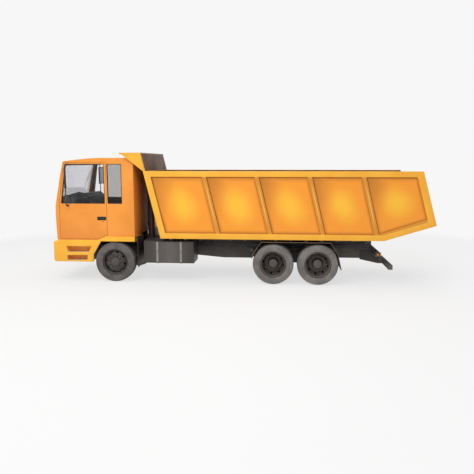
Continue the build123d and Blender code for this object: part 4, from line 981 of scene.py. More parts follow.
# repeats
class StudRow:
    """Bolt heads, rivets or nuts set at marked points by a node tree."""

    TREE = "studs_at_points"
    WASHER_SHARE = 0.25
    WASHER_SIDES = 12

    def __init__(self, sides: int = 6, radius: float = 0.012, height: float = 0.01, washer: float = 1.35) -> None:
        """Starts an empty row.

        Args:
            sides: corners of a head.
            radius: of a head.
            height: of a head.
            washer: the washer's radius as a multiple of the head's.
        """
        self.sides, self.radius, self.height, self.washer = sides, radius, height, washer
        self.points: list[Vector] = []
        self.aims: list[Vector] = []

    def at(self, point: Point3, aim: Point3) -> None:
        """Marks one place and the way its head faces."""
        self.points.append(Vector(point))
        self.aims.append(Vector(aim).normalized())

    def along(self, start: Point3, end: Point3, count: int, aim: Point3) -> None:
        """Marks places evenly from start to end."""
        for k in range(count):
            self.at(Vector(start).lerp(Vector(end), k / max(1, count - 1)), aim)

    def circle(self, centre: Point3, aim: Point3, radius: float, count: int, turn: float = 0.0) -> None:
        """Marks places round a circle.

        Args:
            centre: its middle.
            aim: the way the heads point.
            radius: of the circle.
            count: of heads.
            turn: angle of the first.
        """
        axis = Vector(aim).normalized()
        side = Vector((1, 0, 0)) if abs(axis.x) < 0.9 else Vector((0, 1, 0))
        up = axis.cross(side).normalized()
        for k in range(count):
            t = turn + 2 * math.pi * k / count
            self.at(Vector(centre) + (side * math.cos(t) + up * math.sin(t)) * radius, aim)

    @classmethod
    def tree(cls) -> GeometryNodeTree:
        """The node tree: a head on its washer at each point, turned to its aim.

        Returns:
            The tree, made once.
        """
        found = bpy.data.node_groups.get(cls.TREE)
        if found is not None:
            return found
        graph = Graph(bpy.data.node_groups.new(cls.TREE, "GeometryNodeTree"))
        face = graph.tree.interface
        for name, kind in (
            ("Geometry", "Geometry"), ("Sides", "Int"), ("Radius", "Float"), ("Height", "Float"), ("Washer", "Float"),
            ("Finish", "Material"),
        ):
            face.new_socket(name, in_out="INPUT", socket_type=f"NodeSocket{kind}")
        face.new_socket("Geometry", in_out="OUTPUT", socket_type="NodeSocketGeometry")
        given = graph.add("NodeGroupInput").outputs
        thin = graph.calc("MULTIPLY", given["Height"], cls.WASHER_SHARE)
        wide = graph.calc("MULTIPLY", given["Radius"], given["Washer"])
        both = graph.add("GeometryNodeJoinGeometry")
        for height, shape in (
            (given["Height"], {"Vertices": given["Sides"], "Radius": given["Radius"], "Depth": given["Height"]}),
            (thin, {"Vertices": cls.WASHER_SIDES, "Radius": wide, "Depth": thin}),
        ):
            solid = graph.add("GeometryNodeMeshCylinder", shape).outputs["Mesh"]
            rise = graph.add("ShaderNodeCombineXYZ", {"Z": graph.calc("MULTIPLY", height, 0.5)}).outputs[0]
            lift = graph.add("GeometryNodeTransform", {"Geometry": solid, "Translation": rise})
            graph.feed(both.inputs[0], lift.outputs[0])
        aim = graph.add("GeometryNodeInputNamedAttribute", {"Name": "aim"}, data_type="FLOAT_VECTOR")
        turn = graph.add("FunctionNodeAlignRotationToVector", {"Vector": aim.outputs["Attribute"]}, axis="Z").outputs[0]
        spots = {"Points": given["Geometry"], "Instance": both.outputs[0], "Rotation": turn}
        spread = graph.add("GeometryNodeInstanceOnPoints", spots).outputs[0]
        real = graph.add("GeometryNodeRealizeInstances", {0: spread}).outputs[0]
        paint = graph.add("GeometryNodeSetMaterial", {"Geometry": real, "Material": given["Finish"]}).outputs[0]
        graph.add("NodeGroupOutput", {0: paint})
        return graph.tree

    def piece(self, name: str, look: Finish, body: str = "chassis", slot: str = "") -> Object:
        """Runs the node tree over the marked points and finishes the heads as one mesh.

        Args:
            name: the piece's name.
            look: its finish.
            body: what it rides on.
            slot: not used.

        Returns:
            The piece.
        """
        mesh = bpy.data.meshes.new(name)
        mesh.from_pydata([tuple(p) for p in self.points], [], [])
        aim = mesh.attributes.new("aim", "FLOAT_VECTOR", "POINT")
        aim.data.foreach_set("vector", [x for a in self.aims for x in a])
        source = placed(f"{name}_points", mesh)
        runner = source.modifiers.new("studs", "NODES")
        runner.node_group = self.tree()
        given = {
            "Sides": self.sides, "Radius": self.radius, "Height": self.height, "Washer": self.washer,
            "Finish": look.material(),
        }
        for item in runner.node_group.interface.items_tree:
            if item.in_out == "INPUT" and item.name in given:
                runner[item.identifier] = given[item.name]
        made = plain_mesh(source).data
        bpy.data.objects.remove(source)
        made.materials.clear()
        return finish_piece(made, name, [look], body=body)


# tipping body
@dataclass
class TippingBody:
    """The scow-ended body: sides with pressed panels, floor, headboard, canopy and runners."""

    half: float = 1.300
    inner_half: float = 1.240
    recess: float = 0.040
    bottom: float = 1.156
    top: float = 2.856
    rake: float = 0.2453
    panel_top: float = 2.716
    panel_low: float = 1.296
    panel_front_top: float = 2.216
    panel_rear_top: float = -4.317
    panel_rear_low: Point2 = (-4.599, 1.689)
    panel_kink_x: float = -3.430
    rib_half: float = 0.048
    ribs: tuple[float, ...] = (0.871, -0.436, -1.743, -3.050)
    sheet: float = 0.0015
    slope: float = 0.026
    crown: float = 0.012
    steps: int = 20
    body: str = "bed"

    def outlines(self) -> list[list[Point2]]:
        """The sunk panels of a side from front to rear, each from its top front corner rearwards and down.

        Returns:
            An outline for each panel.
        """
        drop = self.rake * (self.panel_top - self.panel_low)
        fronts = [self.panel_front_top] + [x - self.rib_half for x in self.ribs]
        rears = [x + self.rib_half for x in self.ribs]
        panels = [
            [(f, self.panel_top), (r, self.panel_top), (r - drop, self.panel_low), (f - drop, self.panel_low)]
            for f, r in zip(fronts, rears)
        ]
        last = fronts[-1]
        climb = (self.panel_rear_low[1] - self.panel_low) / (self.panel_kink_x - self.panel_rear_low[0])
        meet_x = (last - drop + self.rake * climb * self.panel_kink_x) / (1 + self.rake * climb)
        meet_z = self.panel_low + climb * (self.panel_kink_x - meet_x)
        top_edge = [(last, self.panel_top), (self.panel_rear_top, self.panel_top)]
        return panels + [top_edge + [self.panel_rear_low, (meet_x, meet_z)]]

    def pressed_panels(self, side: Side) -> None:
        """One side's panels: crowned sheets whose borders slope up to the rails and ribs.

        Args:
            side: the lorry's side.
        """
        work = bmesh.new()
        layer = work.loops.layers.uv.new("panel")
        deep = self.half - self.recess + self.sheet + 0.0006
        count = self.steps + 2
        for outline in self.outlines():
            outer = inset(outline, 0.0008)
            inner = inset(outline, self.slope)
            grid = []
            for j in range(count + 1):
                row = []
                for i in range(count + 1):
                    rim = i in (0, count) or j in (0, count)
                    u = min(1.0, max(0.0, (i - 1) / self.steps))
                    v = min(1.0, max(0.0, (j - 1) / self.steps))
                    corners = [Vector(c) for c in (outer if rim else inner)]
                    spot = corners[0].lerp(corners[1], u).lerp(corners[3].lerp(corners[2], u), v)
                    swell = self.crown * (math.sin(math.pi * u) * math.sin(math.pi * v)) ** 0.7
                    y = self.half - 0.004 if rim else deep + swell
                    row.append((work.verts.new((spot.x, side.y(y), spot.y)), (u, v)))
                grid.append(row)
            for j in range(count):
                for i in range(count):
                    quad = [grid[j][i], grid[j + 1][i], grid[j + 1][i + 1], grid[j][i + 1]]
                    face = work.faces.new([v for v, _ in quad])
                    for loop, (_, uv) in zip(face.loops, quad):
                        loop[layer].uv = uv
                    if side is Side.RIGHT:
                        face.normal_flip()
        mesh = walled(mesh_of(work, "panels"), self.sheet)
        finish_piece(mesh, f"bed_panels_{side.label}", [PANEL], body=self.body, smooth=50)

    def build(self) -> None:
        """All of the body."""
        for side in Side:
            softened(
                f"bed_side_{side.label}", RAIL, 0.007, RAIL_EDGE_HIGHLIGHT,
                [(lambda c, n: abs(c.y) < self.inner_half + 0.001 and abs(n.y) > 0.9, WORN_AND_SHADED)],
            )
            self.pressed_panels(side)
        softened("bed_floor", CHASSIS, 0.003, zones=[(lambda c, n: n.z > 0.5 and c.z > self.bottom + 0.03, WORN_AND_SHADED)])
        softened("bed_runners", CHASSIS, 0.004)
        softened(
            "bed_headboard", RAIL, 0.005, RAIL_EDGE_HIGHLIGHT,
            [(lambda c, n: n.x < -0.8 and n.z > 0.1, WORN_AND_SHADED), (lambda c, n: n.x > 0.5, HEADBOARD_FRONT_SHADE)],
        )
        # The canopy's underside and rear faces take the worn finish and its painted shade.
        softened("bed_canopy", RAIL, 0.003, RAIL_EDGE_HIGHLIGHT, [(lambda c, n: n.x < -0.3 or n.z < -0.5, WORN_AND_SHADED)])


# wheels
class Tread(Enum):
    """A tyre's pattern."""

    RIBBED = "ribbed"
    BLOCKS = "blocks"


@dataclass
class Tyre:
    """A truck tyre with moulded sidewall ribs and a cut tread."""

    radius: float = 0.520
    half: float = 0.148
    groove: float = 0.013
    groove_half: float = 0.005
    pitches: int = 54
    centre_z: float = 0.520

    def side_profile(self) -> list[Point2]:
        """Distance out and radius from the bead up to the shoulder.

        Returns:
            The profile's points.
        """
        return [
            (0.1134, 0.3006), (0.1134, 0.3246), (0.1262, 0.3248), (0.1330, 0.3290), (0.1345, 0.3350), (0.1335, 0.3420),
            (0.1400, 0.3600), (0.1445, 0.3780), (0.1452, 0.3800), (0.1475, 0.3950), (0.1479, 0.4080), (0.1470, 0.4230),
            (0.1448, 0.4300), (0.1435, 0.4460), (0.1415, 0.4620), (0.1422, 0.4640), (0.1395, 0.4820), (0.1350, 0.4960),
        ]

    def grooves(self, tread: Tread) -> tuple[float, ...]:
        """Distances out of the grooves that run round the tread."""
        return (0.030, 0.078) if tread is Tread.RIBBED else (0.0, 0.048, 0.094)

    def crown_profile(self, tread: Tread) -> list[tuple[float, float, bool]]:
        """Distance out, radius and whether it lies in a groove, from the shoulder to the middle.

        Args:
            tread: the kind of tread.

        Returns:
            The profile's points.
        """
        def height(u: float) -> float:
            """The crown's radius at a distance out."""
            return self.radius - 0.0015 - 0.0085 * (u / 0.128) ** 2.4

        spots = [(0.1285, 0.5080, False), (0.1180, height(0.118), False)]
        for groove in sorted(self.grooves(tread), reverse=True):
            w = self.groove_half
            if groove > 0:
                floor = height(groove) - self.groove
                spots += [(u, height(u), False) for u in (groove + w + 0.012, groove + w)]
                spots += [(groove + w * 0.6, floor, True), (groove - w * 0.6, floor, True)]
                spots.append((groove - w, height(groove - w), False))
            else:
                spots += [(w, height(w), False), (w * 0.6, height(0) - self.groove, True)]
        if tread is Tread.RIBBED:
            spots.append((0.0, height(0.0), False))
        return spots

    def cut(self, u: float, phase: float, tread: Tread) -> float:
        """How deep a cross cut is.

        Args:
            u: distance out.
            phase: 0 to 1 over a pitch.
            tread: the kind of tread.

        Returns:
            The depth.
        """
        if abs(u) > 0.1335:
            return 0.0
        if tread is Tread.RIBBED:
            return 0.006 if abs(u) > 0.115 and phase > 0.86 else 0.0
        return self.groove * 0.85 if phase > 0.78 and abs(u) > 0.046 else (0.006 if phase > 0.86 else 0.0)

    def add_to(self, blank: Blank, x: float, y: float, tread: Tread) -> None:
        """Adds one tyre to a mesh.

        Args:
            blank: the mesh.
            x: of the wheel's middle.
            y: of the wheel's middle.
            tread: its pattern.
        """
        sides = [(u, r, False) for u, r in self.side_profile()]
        half = sides + self.crown_profile(tread)
        other = [(-u, r, g) for u, r, g in reversed(half) if abs(u) > 1e-6]
        profile = half + other
        stops = (0.0, 0.78, 0.80, 0.98)
        rings = []
        for k in range(self.pitches):
            for stop in stops:
                ring = []
                for u, r, groove in profile:
                    skew = 0.35 * abs(u) / 0.13 if tread is Tread.BLOCKS else 0.12 * math.sin(u * 90)
                    deep = 0.0 if groove else self.cut(u, stop + 0.001, tread)
                    angle = 2 * math.pi * (k + stop + skew) / self.pitches
                    along, up = (r - deep) * math.cos(angle), (r - deep) * math.sin(angle)
                    ring.append(blank.work.verts.new((x + along, y + u, self.centre_z + up)))
                rings.append(ring)
        for near, far in zip(rings, rings[1:] + rings[:1]):
            for k in range(len(profile)):
                n = (k + 1) % len(profile)
                made = blank.work.faces.new((near[k], near[n], far[n], far[k]))
                # The tyre's inner sidewall band takes the painted shade.
                made.material_index = 1 if max(profile[k][1], profile[n][1]) < 0.338 else 0


@dataclass
class RoadWheel:
    """A disc wheel: rolled rim, pressed disc with hand holes, drum, hub and nuts."""

    holes: int = 8
    hole_circle: float = 0.252
    hole_r: float = 0.027
    first_hole: float = math.radians(11.0)
    ring_in: float = 0.216
    ring_out: float = 0.2885
    sheet: float = 0.012
    nuts: int = 10
    nut_circle: float = 0.1675
    centre_z: float = 0.520
    spacing: float = 0.335

    RIM = (
        (-0.126, 0.3232), (-0.1142, 0.3232), (-0.1125, 0.306), (-0.100, 0.2990), (0.100, 0.2990), (0.1125, 0.306),
        (0.1142, 0.3232), (0.126, 0.3232), (0.1268, 0.316), (0.121, 0.300), (0.108, 0.2875), (0.060, 0.283),
        (-0.060, 0.283), (-0.108, 0.2875), (-0.121, 0.300), (-0.1268, 0.316),
    )
    FRONT_DISC = (
        (0.058, 0.2885), (0.082, 0.262), (0.100, 0.225), (0.106, 0.206), (0.110, 0.190), (0.110, 0.130), (0.104, 0.112),
    )
    DUAL_DISC = ((0.040, 0.2885), (0.004, 0.272), (-0.092, 0.236), (-0.138, 0.208), (-0.144, 0.192), (-0.144, 0.142))
    FRONT_HUB = (
        (-0.098, 0.0), (-0.098, 0.276), (-0.092, 0.278), (-0.086, 0.205), (0.080, 0.205), (0.088, 0.186),
        (0.088, 0.126), (0.118, 0.122), (0.126, 0.116), (0.130, 0.098), (0.142, 0.088), (0.1475, 0.060), (0.148, 0.0),
    )
    DUAL_HUB = (
        (-0.330, 0.0), (-0.330, 0.255), (-0.324, 0.258), (-0.318, 0.205), (-0.182, 0.205), (-0.174, 0.190),
        (-0.162, 0.150), (-0.140, 0.134), (-0.120, 0.127), (-0.030, 0.124), (-0.012, 0.118), (0.004, 0.104),
        (0.011, 0.094), (0.013, 0.060), (0.016, 0.048), (0.016, 0.0),
    )

    def disc_u(self, profile: Sequence[Point2], radius: float) -> float:
        """Distance out of a disc's face at a radius.

        Args:
            profile: distances out and radii, inwards.
            radius: the radius.

        Returns:
            The distance.
        """
        for (u0, r0), (u1, r1) in zip(profile, profile[1:]):
            if r1 <= radius <= r0 + 1e-9:
                return u0 + (u1 - u0) * (r0 - radius) / (r0 - r1)
        return profile[-1][0] if radius < profile[-1][1] else profile[0][0]

    def disc(self, work: BMesh, place: Callable[[float, float, float], Vector], profile: Sequence[Point2]) -> None:
        """The disc's sheet with its hand holes.

        Args:
            work: the mesh it is added to.
            place: turns distance out, radius and angle into a point.
            profile: the disc's distance out and radius.
        """
        arcs, sides = 8, 4
        sector = 2 * math.pi / self.holes
        for h in range(self.holes):
            middle = self.first_hole + h * sector
            start, end, width = middle - sector / 2, middle + sector / 2, self.ring_in - self.ring_out
            loop = [(self.ring_out, start + sector * k / arcs) for k in range(arcs)]
            loop += [(self.ring_out + width * k / sides, end) for k in range(sides)]
            loop += [(self.ring_in, end - sector * k / arcs) for k in range(arcs)]
            loop += [(self.ring_in - width * k / sides, start) for k in range(sides)]
            rings = []
            centre = Vector((self.hole_circle * math.cos(middle), self.hole_circle * math.sin(middle)))
            for share, dip in ((0.0, 0.006), (0.10, 0.001), (0.28, 0.0), (1.0, 0.0)):
                ring = []
                for radius, angle in loop:
                    rim = Vector((radius * math.cos(angle), radius * math.sin(angle)))
                    hole = centre + (rim - centre).normalized() * self.hole_r
                    spot = hole.lerp(rim, share)
                    r, a = spot.length, math.atan2(spot.y, spot.x)
                    if share == 1.0:
                        r, a = radius, angle
                    ring.append(work.verts.new(place(self.disc_u(profile, r) - dip, r, a)))
                rings.append(ring)
            skin(work, rings)
        steps = arcs * self.holes
        radii = [r for _, r in profile if r < self.ring_in - 0.002]
        rows = []
        for radius in [self.ring_in] + radii:
            start = self.first_hole - sector / 2
            rows.append([
                work.verts.new(place(self.disc_u(profile, radius), radius, start + 2 * math.pi * k / steps))
                for k in range(steps)
            ])
        skin(work, rows)

    def build(self, node: str, body: str, x: float, y: float, side: Side, twin: bool) -> None:
        """One wheel set, with its nuts.

        Args:
            node: the CAD wheel node it stands for.
            body: the body it rides on.
            x: of the wheel's middle.
            y: of the outer wheel's middle.
            side: the lorry's side.
            twin: whether a second wheel stands inside it.
        """
        def at(u: float, r: float, a: float, shift: float = 0.0) -> Vector:
            """A point by distance out, radius and angle."""
            return Vector((x + r * math.cos(a), y + side.y(u - shift), self.centre_z + r * math.sin(a)))

        work = bmesh.new()
        profile = self.DUAL_DISC if twin else self.FRONT_DISC
        self.disc(work, at, profile)
        if twin:
            self.disc(work, lambda u, r, a: at(-u, r, a, self.spacing), profile)
        bmesh.ops.remove_doubles(work, verts=work.verts, dist=2e-5)
        bmesh.ops.recalc_face_normals(work, faces=work.faces)
        for face in work.faces:
            shift = 0.0 if not twin or abs(face.calc_center_median().y - y) < self.spacing / 2 else 1.0
            out = face.normal.y * side.y(1.0 if shift == 0.0 else -1.0)
            if out < 0:
                face.normal_flip()
        sheet = walled(mesh_of(work, "disc"), self.sheet)
        blank = Blank()
        blank.work.from_mesh(sheet)
        origin = (x, y, self.centre_z)
        aim = side.aim
        blank.turned(self.RIM, origin, aim, 72, closed=True)
        if twin:
            inner = (x, y - side.y(self.spacing), self.centre_z)
            blank.turned(self.RIM, inner, aim, 72, closed=True)
        blank.turned(self.DUAL_HUB if twin else self.FRONT_HUB, origin, aim, 56, look=1)
        valve = at(0.02, 0.262, self.first_hole + math.pi / self.holes)
        blank.tube([valve, at(0.075, 0.276, self.first_hole + math.pi / self.holes)], 0.006, 8, 1)
        blank.piece(f"{node}_shape", (DUAL_WHEEL_LIGHT if twin else WHEEL, HUB), body=body, stands_for=(node,), smooth=34)
        face_u = -0.144 if twin else 0.110
        nuts = StudRow(6, 0.0185, 0.024, 1.25)
        nuts.circle(at(face_u, 0.0, 0.0), aim, self.nut_circle, self.nuts, 0.2)
        nuts.piece(f"{node}_nuts", BOLT, body=body, slot="wheel_paint")
        caps = StudRow(6, 0.008, 0.007, 1.3)
        caps.circle(at(0.004 if twin else 0.128, 0.0, 0.0), aim, 0.104 if twin else 0.105, 8, 0.1)
        caps.piece(f"{node}_cap_screws", BOLT, body=body, slot="wheel_paint")


@dataclass
class RunningGear:
    """Six wheel sets on a steered front axle and a driven bogie."""

    front_x: float = 3.210
    front_y: float = 1.085
    middle_x: float = -0.865
    rear_x: float = -1.985
    outer_y: float = 1.112
    spacing: float = 0.335

    def build(self) -> None:
        """Tyres and wheels of all six sets."""
        tyre, wheel = Tyre(), RoadWheel()
        for side in Side:
            body = f"front_wheel_{side.label}"
            blank = Blank()
            tyre.add_to(blank, self.front_x, side.y(self.front_y), Tread.RIBBED)
            node = f"tyre_front_{side.label}"
            blank.piece(f"{node}_shape", (STEER_TYRE, TYRE_INNER_SHADE), body=body, stands_for=(node,))
            wheel.build(f"wheel_front_{side.label}", body, self.front_x, side.y(self.front_y), side, False)
            for row, x in (("middle", self.middle_x), ("rear", self.rear_x)):
                body = f"{row}_wheels_{side.label}"
                blank = Blank()
                for y in (self.outer_y, self.outer_y - self.spacing):
                    tyre.add_to(blank, x, side.y(y), Tread.BLOCKS)
                node = f"tyres_{row}_{side.label}"
                blank.piece(f"{node}_shape", (TYRE, TYRE_INNER_SHADE), body=body, stands_for=(node,))
                wheel.build(f"wheels_{row}_{side.label}", body, x, side.y(self.outer_y), side, True)


# cab
@dataclass
class Cab:
    """The cab's shell: sides, doors, nose with its grille, roof, rear wall, glass, seals and wipers."""

    half: float = 1.220
    wall: float = 0.060
    rear_x: float = 2.675
    nose: tuple[Point2, ...] = ((4.719, 1.092), (4.739, 1.767), (4.729, 1.976), (4.588, 2.698), (4.497, 3.092))
    door: tuple[Point2, ...] = (
        (4.628, 1.116), (4.628, 2.030), (4.470, 3.054), (3.392, 3.054), (3.392, 1.230), (3.482, 1.186), (3.640, 1.116),
    )
    door_window: tuple[Point2, ...] = ((4.580, 2.030), (4.438, 3.028), (3.432, 3.028), (3.432, 2.030))
    quarter_window: tuple[Point2, ...] = ((3.354, 2.030), (3.354, 3.028), (2.985, 3.028), (2.985, 2.030))
    screen_low: float = 2.110
    screen_top: float = 3.010
    screen_half: float = 1.085
    seal_w: float = 0.011
    seal_out: float = 0.003
    drip_z: float = 3.176
    handle: Point2 = (3.525, 1.648)
    handle_w: float = 0.222
    handle_h: float = 0.076
    hinge_at: Point2 = (4.640, 1.228)
    hinges: Point2 = (1.330, 1.880)
    grille_z: float = 1.430
    grille_pitch: float = 0.084
    grille_slots: int = 5
    grille_w: float = 1.500
    grille_h: float = 0.048
    vanes: int = 30

    BARREL = ((-0.017, 0.0), (-0.017, 0.009), (-0.015, 0.011), (0.015, 0.011), (0.017, 0.009), (0.017, 0.0))
    LOCK = ((0.0, 0.0), (0.0, 0.014), (0.004, 0.013), (0.005, 0.007), (0.003, 0.0))
    WIPER_PIVOT = ((-0.01, 0.0), (-0.01, 0.024), (0.026, 0.020), (0.032, 0.0))
    TRIM = ((4.10, 1.26), (4.56, 1.26), (4.56, 1.97), (3.46, 1.97), (3.46, 1.32), (3.56, 1.26))

    def nose_x(self, z: float) -> float:
        """X of the nose's face at a height.

        Args:
            z: the height.

        Returns:
            The X.
        """
        for (x0, z0), (x1, z1) in zip(self.nose, self.nose[1:]):
            if z <= z1:
                return x0 + (x1 - x0) * (z - z0) / (z1 - z0)
        return self.nose[-1][0]

    def seal(self, name: str, outline: Sequence[Point2], side: Side, body: str) -> None:
        """A rubber seal that grips a window's edge.

        Args:
            name: the piece's name.
            outline: the window opening, seen from the side.
            side: the lorry's side.
            body: the body it rides on.
        """
        blank = Blank()
        for by, width, start, end in (
            (-self.seal_out, self.seal_w + self.seal_out, -0.002, 0.004), (0.001, self.seal_w, -0.040, -0.001),
        ):
            ring = rounded(inset(outline, by), 0.03, 3)
            blank.ring_across(side, ring, width, self.half + start, self.half + end)
        blank.piece(name, RUBBER_SEAL, 0.0015, body=body)

    def side_shell(self, side: Side) -> None:
        """One side of the shell with its seals and the dark gap round the door.

        Args:
            side: the lorry's side.
        """
        inside = self.half - self.wall + 0.001
        # Rear-facing faces at the back of the cab side get the rear wall's painted shade.
        softened(
            f"cab_side_{side.label}", CAB_PAINT, 0.004, CAB_EDGE_HIGHLIGHT,
            [(lambda c, n: abs(c.y) < inside, LINING), (lambda c, n: n.x < -0.7 and c.x < self.rear_x + 0.01, CAB_REAR_SHADE)],
        )
        self.seal(f"quarter_seal_{side.label}", self.quarter_window, side, "chassis")
        gap = Blank()
        ring = inset(self.door, -0.0078)
        gap.ring_across(side, ring, 0.0070, self.half - 0.030, self.half - 0.012)
        gap.piece(f"door_gap_seal_{side.label}", RUBBER_SEAL)
        # The drip rail is painted all in the cab's edge highlight.
        rail = Blank()
        y = side.y(self.half - 0.004)
        path = curve_points([(4.478, y, 3.094), (3.720, y, self.drip_z), (self.rear_x + 0.03, y, self.drip_z)], 0.2)
        rail.tube(path, 0.009, 10)
        rail.piece(f"drip_rail_{side.label}", CAB_EDGE_HIGHLIGHT)

    def door_leaf(self, side: Side) -> None:
        """One door: leaf, glass seal, pull handle, lock and inner trim.

        Args:
            side: the lorry's side.
        """
        body = f"door_{side.label}"
        half_w, half_h = self.handle_w / 2 + 0.001, self.handle_h / 2 + 0.001

        def in_pocket(c: Vector, n: Vector) -> bool:
            """Whether a face belongs to the handle's pocket or bar."""
            near = abs(c.x - self.handle[0]) < half_w and abs(c.z - self.handle[1]) < half_h
            return near and self.half - 0.03 < abs(c.y) < self.half - 0.0005

        softened(
            body, CAB_PAINT, 0.004, CAB_EDGE_HIGHLIGHT,
            [(in_pocket, PLASTIC), (lambda c, n: abs(c.y) < self.half - self.wall + 0.001, LINING)],
        )
        self.seal(f"door_seal_{side.label}", self.door_window, side, body)
        y = side.y(self.half)
        grip = Blank()
        bezel = oblong(self.handle, self.handle_w + 0.018, self.handle_h + 0.018, 0.030)
        grip.ring_across(side, bezel, 0.012, self.half - 0.004, self.half + 0.004)
        floor = oblong(self.handle, self.handle_w - 0.001, self.handle_h - 0.001, 0.024)
        grip.across(side, floor, self.half - 0.0195, self.half - 0.012)
        bar = oblong((self.handle[0], self.handle[1] + 0.014), self.handle_w + 0.004, 0.026, 0.010)
        grip.across(side, bar, self.half - 0.010, self.half + 0.0035)
        grip.turned(self.LOCK, (self.handle[0] - 0.03, y - side.y(0.001), self.handle[1] - 0.085), side.aim, 24)
        grip.piece(f"door_handle_{side.label}", PLASTIC, 0.0015, body=body)
        # Hinge barrels are painted all in the cab's edge highlight.
        for name, rider, shifts in (("door", body, (0.0,)), ("post", "chassis", (-0.035, 0.035))):
            hinge = Blank()
            for z in self.hinges:
                for shift in shifts:
                    hinge.turned(self.BARREL, (self.hinge_at[0], side.y(self.hinge_at[1]), z + shift), (0, 0, 1), 20)
            hinge.piece(f"hinge_{name}_{side.label}", CAB_EDGE_HIGHLIGHT, body=rider)
        trim = Blank()
        inner = self.half - self.wall
        rest, pull = oblong((3.86, 1.80), 0.46, 0.07, 0.03), oblong((4.25, 1.70), 0.16, 0.035, 0.012)
        trim.across(side, rounded(self.TRIM, 0.04, 4), inner + 0.0005, inner - 0.012)
        trim.across(side, rest, inner - 0.010, inner - 0.065, 1)
        trim.across(side, pull, inner - 0.010, inner - 0.040, 1)
        trim.piece(f"door_trim_{side.label}", (LINING, PLASTIC), 0.006, body=body)

    def grille(self) -> None:
        """Dark mesh and upright vanes behind the nose's slots."""
        back = Blank()
        posts = StudRow(4, 0.007, self.grille_h, 1.0)
        for k in range(self.grille_slots):
            z = self.grille_z + (k - (self.grille_slots - 1) / 2) * self.grille_pitch
            x = self.nose_x(z)
            low, high = z - self.grille_h / 2 - 0.004, z + self.grille_h / 2 + 0.004
            back.block((x - 0.0605, -self.grille_w / 2, low), (x - 0.052, self.grille_w / 2, high))
            foot = z - self.grille_h / 2
            reach = self.grille_w / 2 - 0.02
            posts.along((x - 0.040, -reach, foot), (x - 0.040, reach, foot), self.vanes, (0, 0, 1))
        back.piece("grille_back", RUBBER_SEAL)
        posts.piece("grille_vanes", PLASTIC)

    def screen_seal(self) -> None:
        """The windscreen's rubber, which follows the bend in the glass."""
        blank = Blank()
        reach = self.screen_half - 0.004
        zs = (self.screen_low + 0.004, self.nose[3][1], self.screen_top - 0.004)
        loop = [(0.0, zs[0])] + [(reach, z) for z in zs] + [(-reach, z) for z in reversed(zs)] + [(0.0, zs[0])]
        path = curve_points([(self.nose_x(z) - 0.034, y, z) for y, z in loop], 0.05)
        blank.tube(path, 0.013, 10)
        blank.piece("windscreen_seal", RUBBER_SEAL)

    def wipers(self) -> None:
        """Two wipers parked along the foot of the windscreen."""
        blank = Blank()
        for pivot in (0.86, 0.02):
            foot = (self.nose_x(2.065) + 0.004, pivot, 2.065)
            tip = (self.nose_x(2.185) + 0.030, pivot - 0.50, 2.185)
            knee = (self.nose_x(2.085) + 0.034, pivot - 0.07, 2.085)
            blank.turned(self.WIPER_PIVOT, foot, (1, 0, 0.16), 20)
            blank.tube([(foot[0] + 0.024, foot[1], foot[2]), knee, tip], 0.006, 8)
            blade = [(self.nose_x(z) + 0.016, pivot - out, z) for out, z in ((0.86, 2.175), (0.14, 2.195))]
            blank.tube(blade, 0.008, 8)
            blank.tube([tip, (tip[0] - 0.014, tip[1], tip[2])], 0.010, 8)
        blank.piece("wipers", PLASTIC)

    def build(self) -> None:
        """All of the cab's shell."""
        for side in Side:
            self.side_shell(side)
            self.door_leaf(side)
            softened(f"door_glass_{side.label}", GLASS, 0.0)
        inner = self.wall - 0.002
        softened(
            "cab_front_panel", CAB_PAINT, 0.005, CAB_EDGE_HIGHLIGHT,
            [(lambda c, n: n.x < -0.5 and c.x < self.nose_x(c.z) - inner, LINING)],
        )
        softened("cab_glazing", GLASS, 0.0, zones=[(lambda c, n: abs(c.y) > 1.15, TINTED)])
        softened("cab_roof", CAB_PAINT, 0.004, CAB_EDGE_HIGHLIGHT, [(lambda c, n: n.z < -0.5, LINING)])
        # The rear wall carries painted shade that deepens towards the middle.
        softened("cab_rear_wall", CAB_REAR_SHADE, 0.004, zones=[(lambda c, n: n.x > 0.5, LINING)])
        softened("cab_floor", PLASTIC, 0.004)
        self.grille()
        self.screen_seal()
        self.wipers()


